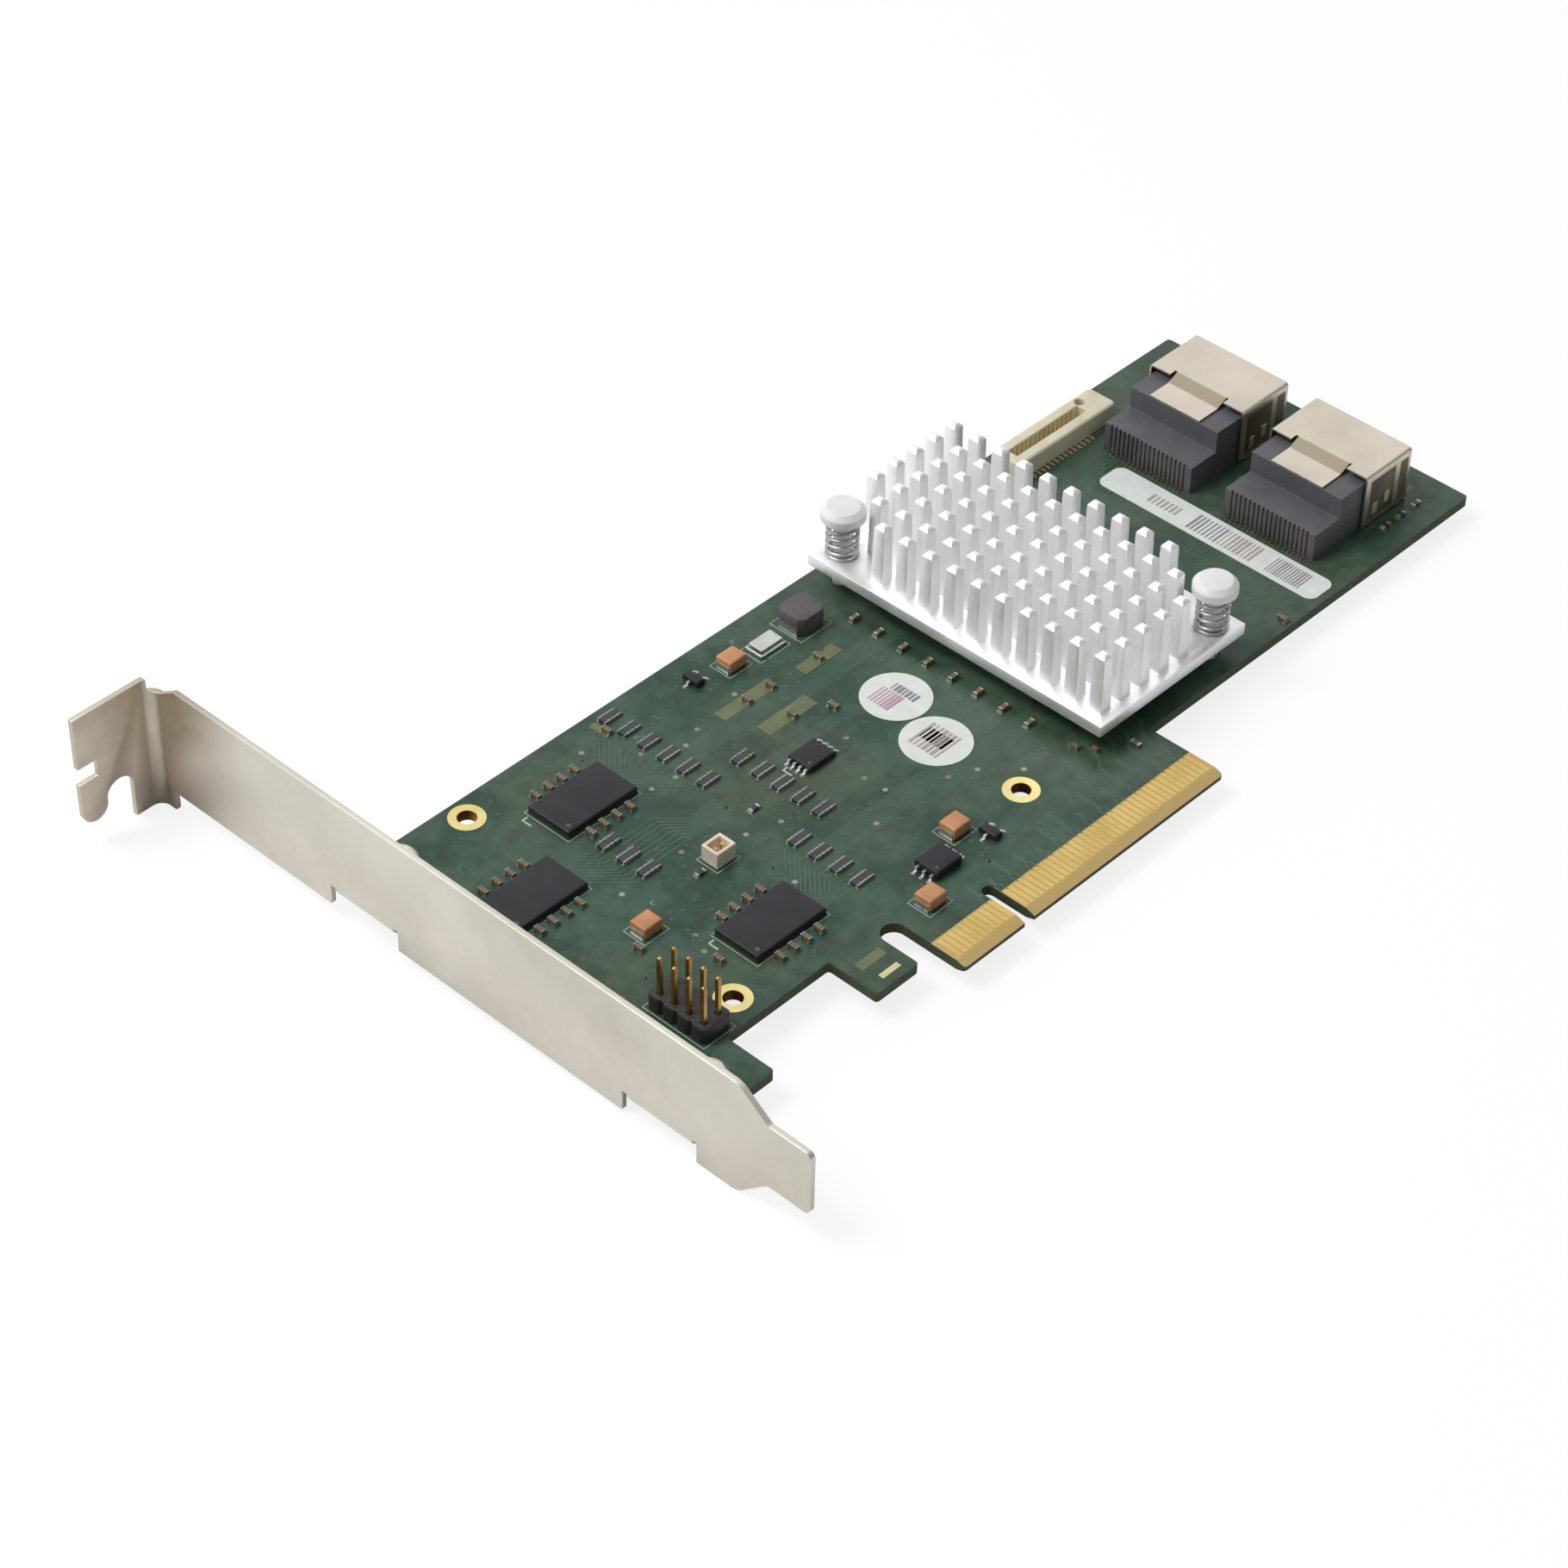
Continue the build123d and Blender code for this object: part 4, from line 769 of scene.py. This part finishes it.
def add_vias(rims, hole_shade, spots, level, way):
    """Plated rims, and dark discs of painted shade in their middles, on one face of the board."""
    for x, y in spots:
        add_disc(rims, (x, y, level - copper * 0.5), via_radius, copper * 1.6, 10)
        # The dark disc is painted shade in the via's hole
        add_disc(hole_shade, (x, y, level + way * copper * 0.6 - copper * 0.3), via_hole, copper, 8)


def vias(front):
    """Small plated vias with a dark disc of painted shade in each, at the ends of tracks and between the
    parts, and round test pads.
    """
    random.seed(7)
    plans = footprints()
    ends = [path[-1] for path in front[::2]]
    loose = []
    for count, x_span, y_span in via_areas:
        loose += [(random.uniform(*x_span) * MM, random.uniform(*y_span) * MM) for _ in range(count)]
    free = [spot for spot in ends + loose if is_free(spot, plans, 0.5 * MM)]
    rims = bmesh.new()
    hole_shade = bmesh.new()
    add_vias(rims, hole_shade, free, face, 1)
    add_vias(rims, hole_shade, loose[::2], back, -1)
    piece_from("via_rims", rims, "track")
    piece_from("via_hole_shade", hole_shade, "chip_black")
    pads = bmesh.new()
    for _ in range(pad_tries):
        spot = (random.uniform(24, 86) * MM, random.uniform(15, 67) * MM)
        if is_free(spot, plans, 0.8 * MM):
            add_disc(pads, (*spot, face), 0.4 * MM, copper, 14)
        add_disc(pads, (*spot, back - copper), 0.45 * MM, copper, 14)
    piece_from("test_pads", pads, "solder_dull")


def copper_pours():
    """Copper areas under thin mask, which look yellowish, by the power parts and on the tabs."""
    work = bmesh.new()
    for x, y, length, width in (
        (63.6, 56.0, 10.4, 2.2),
        (65.2, 49.8, 9.4, 2.6),
        (76.9, 54.9, 7.4, 2.2),
        (45.3, 65.6, 1.3, 3.4),
        (37.8, 9.4, 4.6, 1.5),
        (160.6, 20.3, 11.0, 1.5),
    ):
        add_block(work, (x * MM, y * MM, face + copper / 2), (length * MM, width * MM, copper))
    piece_from("copper_pours", work, "pour_olive")


def rectangle(low, high, margin):
    """The four corners of a box in plan, grown by a margin."""
    return [
        (low.x - margin, low.y - margin),
        (high.x + margin, low.y - margin),
        (high.x + margin, high.y + margin),
        (low.x - margin, high.y + margin),
    ]


def ink_outlines():
    """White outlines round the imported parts."""
    loops = []
    for node, margin in (
        ("memory_chip_upper", 0.35),
        ("memory_chip_front", 0.35),
        ("memory_chip_lower", 0.35),
        ("pin_header_base", 0.3),
        ("power_inductor", 0.5),
        ("crystal_can", 0.4),
        ("led_header_body", 0.4),
        ("battery_connector_body", 0.35),
    ):
        low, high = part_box(node)
        loops.append(rectangle(low, high, margin * MM))
    for middle, size in spots_of("tantalum_capacitors"):
        loops.append(rectangle(middle - size / 2, middle + size / 2, 0.55 * MM))
    ribbons("ink_outlines", loops, ink_line, ink, face, "ink", closed=True)


def ink_marks():
    """Corner marks by the chips, and a cream bar on the middle tab."""
    marks = []
    for node, reach in (("memory_chip_upper", 1.6), ("memory_chip_lower", 1.6), ("supervisor_leads", 0.8)):
        low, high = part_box(node)
        x, y = low.x - reach * MM, high.y - 0.6 * MM
        marks.append([(x, y - 1.6 * MM), (x, y), (x + 0.9 * MM, y)])
    ribbons("ink_marks", marks, 0.3 * MM, ink, face, "ink")
    bar = bmesh.new()
    add_block(bar, (38 * MM, 6.3 * MM, face + ink / 2), (3.4 * MM, 0.9 * MM, ink))
    piece_from("tab_bar", bar, "ink_cream")


tracks_on_front = tracks()
vias(tracks_on_front)
copper_pours()
ink_outlines()
ink_marks()


# Solder, bores and threads


def foot_pads():
    """Tinned pads under every foot and plated end that stands on the board."""
    work = bmesh.new()
    for node in (
        "capacitor_ends",
        "resistor_ends",
        "tantalum_terminals",
        "inductor_terminals",
        "supervisor_leads",
        "regulator_leads",
        "transistor_leads",
        "sas_contacts_upper",
        "sas_contacts_lower",
        "battery_connector_contacts",
    ):
        for middle, size in spots_of(node):
            if middle.z - size.z / 2 < face + 0.01 * MM:
                plan = (size.x + 0.24 * MM, size.y + 0.24 * MM, copper)
                add_block(work, (middle.x, middle.y, face + copper / 2), plan)
    piece_from("foot_pads", work, "solder_dull")


def solder_mounds():
    """Solder that climbs the plated ends of the chip parts."""
    work = bmesh.new()
    for node, spread, climb in (
        ("capacitor_ends", 0.22, 0.5),
        ("resistor_ends", 0.22, 0.6),
        ("resistor_array_ends", 0.16, 0.5),
    ):
        for middle, size in spots_of(node):
            foot = (size.x + 2 * spread * MM, size.y + spread * MM)
            top = (size.x + 0.02 * MM, size.y + 0.02 * MM)
            add_mound(work, (middle.x, middle.y, face), foot, top, size.z * climb)
    piece_from("solder_mounds", work, "solder_dull")


def array_gaps():
    """Bare ceramic between the four terminals on each side of a resistor array."""
    work = bmesh.new()
    for middle, size in spots_of("resistor_array_ends"):
        for step in (-1, 0, 1):
            spot = middle + Vector((step * size.x / 4, 0, 0))
            add_block(work, spot, (0.34 * MM, size.y + 0.04 * MM, size.z + 0.02 * MM))
    piece_from("array_gaps", work, "ceramic_pale")


def chip_details():
    """A laminate band round the foot of each memory chip, and the round marks of first pins."""
    bands = bmesh.new()
    dimples = bmesh.new()
    for node in ("memory_chip_upper", "memory_chip_front", "memory_chip_lower"):
        low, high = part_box(node)
        middle = (low + high) / 2
        plan = (high.x - low.x + 0.05 * MM, high.y - low.y + 0.05 * MM, 0.26 * MM)
        add_block(bands, (middle.x, middle.y, face + 0.24 * MM), plan)
        add_disc(dimples, (low.x + 1.0 * MM, low.y + 1.0 * MM, high.z - 0.01 * MM), 0.35 * MM, 0.02 * MM, 20)
    for node in ("supervisor_chip", "regulator_chip"):
        low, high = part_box(node)
        add_disc(dimples, (low.x + 0.8 * MM, low.y + 0.8 * MM, high.z - 0.01 * MM), 0.25 * MM, 0.02 * MM, 16)
    piece_from("laminate_bands", bands, "substrate")
    piece_from("first_pin_dimples", dimples, "ferrite")


def bore_liners():
    """Plated walls inside the mounting bores."""
    work = bmesh.new()
    for middle, size in spots_of("mounting_hole_rings"):
        if middle.z > face:
            inner = bore_radius - liner_wall
            add_ring(work, middle, [(inner, back), (bore_radius, back), (bore_radius, face), (inner, face)])
    piece_from("bore_liners", work, "plated_brown")


def back_solder():
    """Cones and mounds of solder under the board, round the header's pins and the cages' legs."""
    work = bmesh.new()
    for middle, size in spots_of("pin_header_pins"):
        add_disc(work, (middle.x, middle.y, back - 0.9 * MM), 0.42 * MM, 0.9 * MM, 16, top=0.85 * MM)
    for side in ("upper", "lower"):
        low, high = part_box(f"sas_cage_{side}")
        for x in (high.x - 2.0 * MM, high.x - 8.5 * MM):
            for y in (low.y + 0.15 * MM, high.y - 0.15 * MM):
                foot_at = (x, y, back - 0.35 * MM)
                add_mound(work, foot_at, (1.4 * MM, 0.5 * MM), (2.2 * MM, 1.3 * MM), 0.35 * MM)
    piece_from("back_solder", work, "solder_dull")


def screw_threads():
    """Ridges of thread on the screws' tails."""
    work = bmesh.new()
    for middle, size in spots_of("bracket_screws"):
        tail = middle.z - size.z / 2
        for turn in range(2):
            z = tail + (0.15 + 0.4 * turn) * MM
            section = [(1.4 * MM, z), (1.58 * MM, z + 0.12 * MM), (1.4 * MM, z + 0.24 * MM)]
            add_ring(work, middle, section, 24)
    piece_from("screw_threads", work, "screw_steel")


def corner_capacitors():
    """Three small chip capacitors on the board by the heat sink's lower corner."""
    bodies = bmesh.new()
    ends = bmesh.new()
    for x, y in ((87.4, 17.6), (88.8, 15.3), (93.6, 12.0)):
        add_block(bodies, (x * MM, y * MM, face + 0.25 * MM), (0.76 * MM, 1.0 * MM, 0.48 * MM))
        for side in (-0.6, 0.6):
            foot_at = (x * MM, (y + side) * MM, face + 0.26 * MM)
            add_block(ends, foot_at, (0.8 * MM, 0.36 * MM, 0.52 * MM))
    piece_from("corner_capacitors", bodies, "ceramic_tan")
    piece_from("corner_capacitor_ends", ends, "solder_tin")


def cage_sides():
    """Dark plates of painted shade that each stand for an opening in the cages' side walls, with small
    springs on the larger ones.
    """
    opening_shade = bmesh.new()
    springs = bmesh.new()
    for side in ("upper", "lower"):
        low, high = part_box(f"sas_cage_{side}")
        for wall, way in ((low.y, -1), (high.y, 1)):
            for start, end in ((9.4, 3.6), (2.4, 0.6)):
                middle = (high.x - (start + end) / 2 * MM, wall + way * 0.01 * MM, shade_plate_middle)
                add_block(opening_shade, middle, ((start - end) * MM, 0.03 * MM, shade_plate_height))
            for back_from_rear, z in ((8.0, 2.9), (5.3, 3.6)):
                middle = (high.x - back_from_rear * MM, wall + way * 0.1 * MM, z * MM)
                add_block(springs, middle, (spring_length, 0.16 * MM, spring_height))
    # The plates take the contacts' dull finish as painted shade
    piece_from("cage_opening_shade", opening_shade, "contact_dull")
    round_edges(springs, 0.05 * MM, segments=1)
    piece_from("cage_springs", springs, "contact_pale")


corner_capacitors()
cage_sides()
foot_pads()
solder_mounds()
array_gaps()
chip_details()
bore_liners()
back_solder()
screw_threads()


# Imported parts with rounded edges


def dress_structure():
    """The bracket, its screws, the board, its rings and its fingers."""
    rounded_node("bracket", 0.12 * MM, "bracket_steel")
    rounded_node("bracket_screws", 0.14 * MM, "screw_steel", over=30.0)
    paint("circuit_board", "board_mask")
    for node in ("mounting_hole_rings", "bracket_hole_rings"):
        paint(node, "ring_gold")
    paint("edge_contacts", "gold")


def dress_cooler():
    """The heat sink, what lies under it, and the pins that hold it down."""
    rounded_node("heat_sink", 0.15 * MM, "heat_sink_aluminium")
    paint("thermal_pad", "thermal_pad")
    paint("controller_substrate", "substrate")
    rounded_node("controller_lid", 0.15 * MM, "lid_metal")
    for side in ("upper", "lower"):
        rounded_node(f"push_pin_{side}", 0.3 * MM, "push_pin_plastic", over=30.0, segments=3)
        spring(side)


def spring(side):
    """A round wire spring with closed ends, under the push pin's cap."""
    low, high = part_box(f"push_pin_spring_{side}")
    middle = (low + high) / 2
    wire = 0.24 * MM
    radius = (high.x - low.x) / 2 - wire
    curve = wire_curve(f"spring_{side}", wire, 2)
    steps = 20
    turns = 6.5
    count = int(turns * steps)
    rise = high.z - low.z - 2 * wire
    spline = curve.splines.new("POLY")
    spline.points.add(count)
    for index, point in enumerate(spline.points):
        share = index / count
        # The end turns lie flat and the middle ones climb
        climb = min(max((share * turns - 0.9) / (turns - 1.8), 0.0), 1.0)
        angle = math.tau * share * turns
        point.co = (
            middle.x + radius * math.cos(angle),
            middle.y + radius * math.sin(angle),
            low.z + wire + climb * rise,
            1,
        )
    work = curve_mesh(f"spring_{side}", curve)
    piece = piece_from(f"spring_wire_{side}", work, "spring_steel", smooth=50)
    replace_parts(piece, f"push_pin_spring_{side}")


def dress_connectors():
    """The cable sockets, the battery connector and the two headers."""
    for side in ("upper", "lower"):
        rounded_node(f"sas_cage_{side}", 0.06 * MM, "cage_metal", segments=1)
        rounded_node(f"sas_housing_{side}", 0.1 * MM, "housing_black", segments=1)
        paint(f"sas_contacts_{side}", "contact_dull")
    rounded_node("battery_connector_body", 0.1 * MM, "connector_cream", segments=1)
    paint("battery_connector_contacts", "contact_pale")
    rounded_node("pin_header_base", 0.12 * MM, "header_black", segments=1)
    rounded_node("pin_header_pins", 0.06 * MM, "header_gold", segments=1)
    rounded_node("led_header_body", 0.1 * MM, "header_white", segments=1)
    paint("led_header_pins", "gold")


def dress_chips():
    """The chips and the small parts round them."""
    for side in ("upper", "front", "lower"):
        rounded_node(f"memory_chip_{side}", 0.06 * MM, "chip_black")
    for node in ("supervisor_chip", "regulator_chip", "transistors"):
        rounded_node(node, 0.05 * MM, "chip_black", segments=1)
    for node in ("supervisor_leads", "regulator_leads", "transistor_leads", "inductor_terminals"):
        paint(node, "solder_tin")
    for node, width, finish in (
        ("ceramic_capacitors", 0.06, "ceramic_tan"),
        ("capacitor_ends", 0.07, "solder_dull"),
        ("resistors", 0.04, "resistor_dark"),
        ("resistor_ends", 0.05, "solder_tin"),
        ("resistor_arrays", 0.04, "resistor_dark"),
        ("resistor_array_ends", 0.04, "solder_dull"),
        ("tantalum_capacitors", 0.08, "tantalum_orange"),
    ):
        rounded_node(node, width * MM, finish, segments=1)
    paint("tantalum_terminals", "solder_tin")
    rounded_node("power_inductor", 0.2 * MM, "ferrite")
    rounded_node("crystal_can", 0.12 * MM, "can_metal")


def dress_labels():
    """White labels with generic bars and fields of colour."""
    for node in ("strip_label", "round_label_upper", "round_label_lower"):
        paint(node, "label_white")
    random.seed(11)
    prints = {"label_grey": bmesh.new(), "label_rose": bmesh.new(), "label_tan": bmesh.new()}
    low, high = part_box("strip_label")
    length = high.y - low.y
    for start, end, inset, count, finish in (
        (0.08, 0.24, 0.9, 13, "label_grey"),
        (0.30, 0.46, 0.9, 9, "label_tan"),
        (0.46, 0.60, 0.9, 8, "label_grey"),
        (0.66, 0.80, 1.8, 7, "label_tan"),
    ):
        corners = (low.x + inset * MM, low.y + start * length), (high.x - inset * MM, low.y + end * length)
        add_bars(prints[finish], *corners, count, 0.5)
    for node, x, y, width, depth, finish in (
        ("round_label_upper", -1.3, 0.8, 3.6, 4.0, "label_rose"),
        ("round_label_upper", 1.5, -0.3, 1.6, 4.6, "label_grey"),
        ("round_label_lower", 0.0, 0.2, 5.4, 5.4, "label_tan"),
        ("round_label_lower", 0.4, 0.4, 2.6, 4.4, "label_grey"),
    ):
        box_low, box_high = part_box(node)
        x, y = (box_low.x + box_high.x) / 2 + x * MM, (box_low.y + box_high.y) / 2 + y * MM
        corners = (x - width * MM / 2, y - depth * MM / 2), (x + width * MM / 2, y + depth * MM / 2)
        add_bars(prints[finish], *corners, 7, 0.62)
    for finish, work in prints.items():
        piece_from(f"{finish}_print", work, finish)


dress_structure()
dress_cooler()
dress_connectors()
dress_chips()
dress_labels()


# Studio


def floor():
    """A pale floor through the three points that the card rests on."""
    bracket = [vert.co for vert in nodes["bracket"].data.vertices]
    tab_end = [point for point in bracket if point.y > tab_end_from]
    strip_end = [point for point in bracket if point.y < strip_end_to]
    pin = [vert.co for vert in nodes["push_pin_lower"].data.vertices]
    normal = UP
    # Each round finds the lowest points along the last tilt, and tilts the floor to them
    for _ in range(4):
        tab_foot, strip_foot, pin_tip = (min(spots, key=normal.dot) for spots in (tab_end, strip_end, pin))
        normal = (strip_foot - tab_foot).cross(pin_tip - tab_foot).normalized()
        if normal.z < 0:
            normal.negate()
    work = bmesh.new()
    turn = normal.to_track_quat("Z", "Y").to_matrix().to_4x4()
    bmesh.ops.create_grid(
        work,
        x_segments=2,
        y_segments=2,
        size=3.0,
        matrix=Matrix.Translation(pin_tip - normal * 0.05 * MM) @ turn,
    )
    mesh = bpy.data.meshes.new("floor")
    work.to_mesh(mesh)
    work.free()
    made, tree, shader = new_material("floor_white")[:3]
    shader["Base Color"].default_value = (0.92, 0.92, 0.92, 1)
    shader["Roughness"].default_value = 0.9
    shader["Specular IOR Level"].default_value = 0.1
    glow = place(tree, "ShaderNodeEmission", {"Color": (1, 1, 1, 1), "Strength": 1.04})
    light_path = place(tree, "ShaderNodeLightPath").outputs["Is Camera Ray"]
    mix = place(tree, "ShaderNodeMixShader")
    tree.links.new(sums(tree, "MULTIPLY", light_path, 0.8), mix.inputs[0])
    tree.links.new(tree.nodes["Principled BSDF"].outputs[0], mix.inputs[1])
    tree.links.new(glow.outputs[0], mix.inputs[2])
    tree.links.new(mix.outputs[0], tree.nodes["Material Output"].inputs["Surface"])
    mesh.materials.append(made)
    obj = bpy.data.objects.new("floor", mesh)
    bpy.context.scene.collection.objects.link(obj)


def soft_lamp(name, place_at, aim, size, watts):
    """One square soft lamp."""
    lamp = bpy.data.lights.new(name, "AREA")
    lamp.shape = "SQUARE"
    lamp.size = size
    lamp.energy = watts
    obj = bpy.data.objects.new(name, lamp)
    bpy.context.scene.collection.objects.link(obj)
    obj.location = place_at
    obj.rotation_euler = (Vector(aim) - Vector(place_at)).to_track_quat("-Z", "Y").to_euler()


def world():
    """A white surround that is darker on the side of the gold fingers, and plain white to the camera."""
    made = bpy.data.worlds.new("surround")
    bpy.context.scene.world = made
    made.use_nodes = True
    tree = made.node_tree
    background = tree.nodes["Background"]
    rays = place(tree, "ShaderNodeLightPath").outputs
    toward = place(tree, "ShaderNodeTexCoord").outputs["Generated"]
    side = place(tree, "ShaderNodeSeparateXYZ", {"Vector": toward}).outputs["Y"]
    shade = ramp(tree, side, -0.7, 0.2, 0.22, 1.0)
    level = ramp(tree, rays["Is Glossy Ray"], 0.0, 1.0, 0.6, 1.0)
    strength = sums(tree, "MAXIMUM", sums(tree, "MULTIPLY", level, shade), rays["Is Camera Ray"])
    tree.links.new(strength, background.inputs["Strength"])
    background.inputs["Color"].default_value = (1, 1, 1, 1)


def camera():
    """The photograph's camera."""
    lens = bpy.data.cameras.new("camera")
    lens.sensor_width = sensor_width
    lens.lens = camera_lens
    lens.clip_start = 0.01
    lens.clip_end = 20.0
    obj = bpy.data.objects.new("camera", lens)
    bpy.context.scene.collection.objects.link(obj)
    obj.location = camera_place
    obj.rotation_euler = [math.radians(angle) for angle in camera_angles]
    bpy.context.scene.camera = obj


floor()
world()
card_middle = (cad_low + cad_high) / 2
soft_lamp("key_lamp", (-0.35, 0.45, 0.9), card_middle, 0.5, 7.0)
soft_lamp("fill_lamp", (0.3, -0.8, 0.6), card_middle, 0.9, 0.3)
camera()
bpy.context.scene.view_settings.view_transform = "Standard"
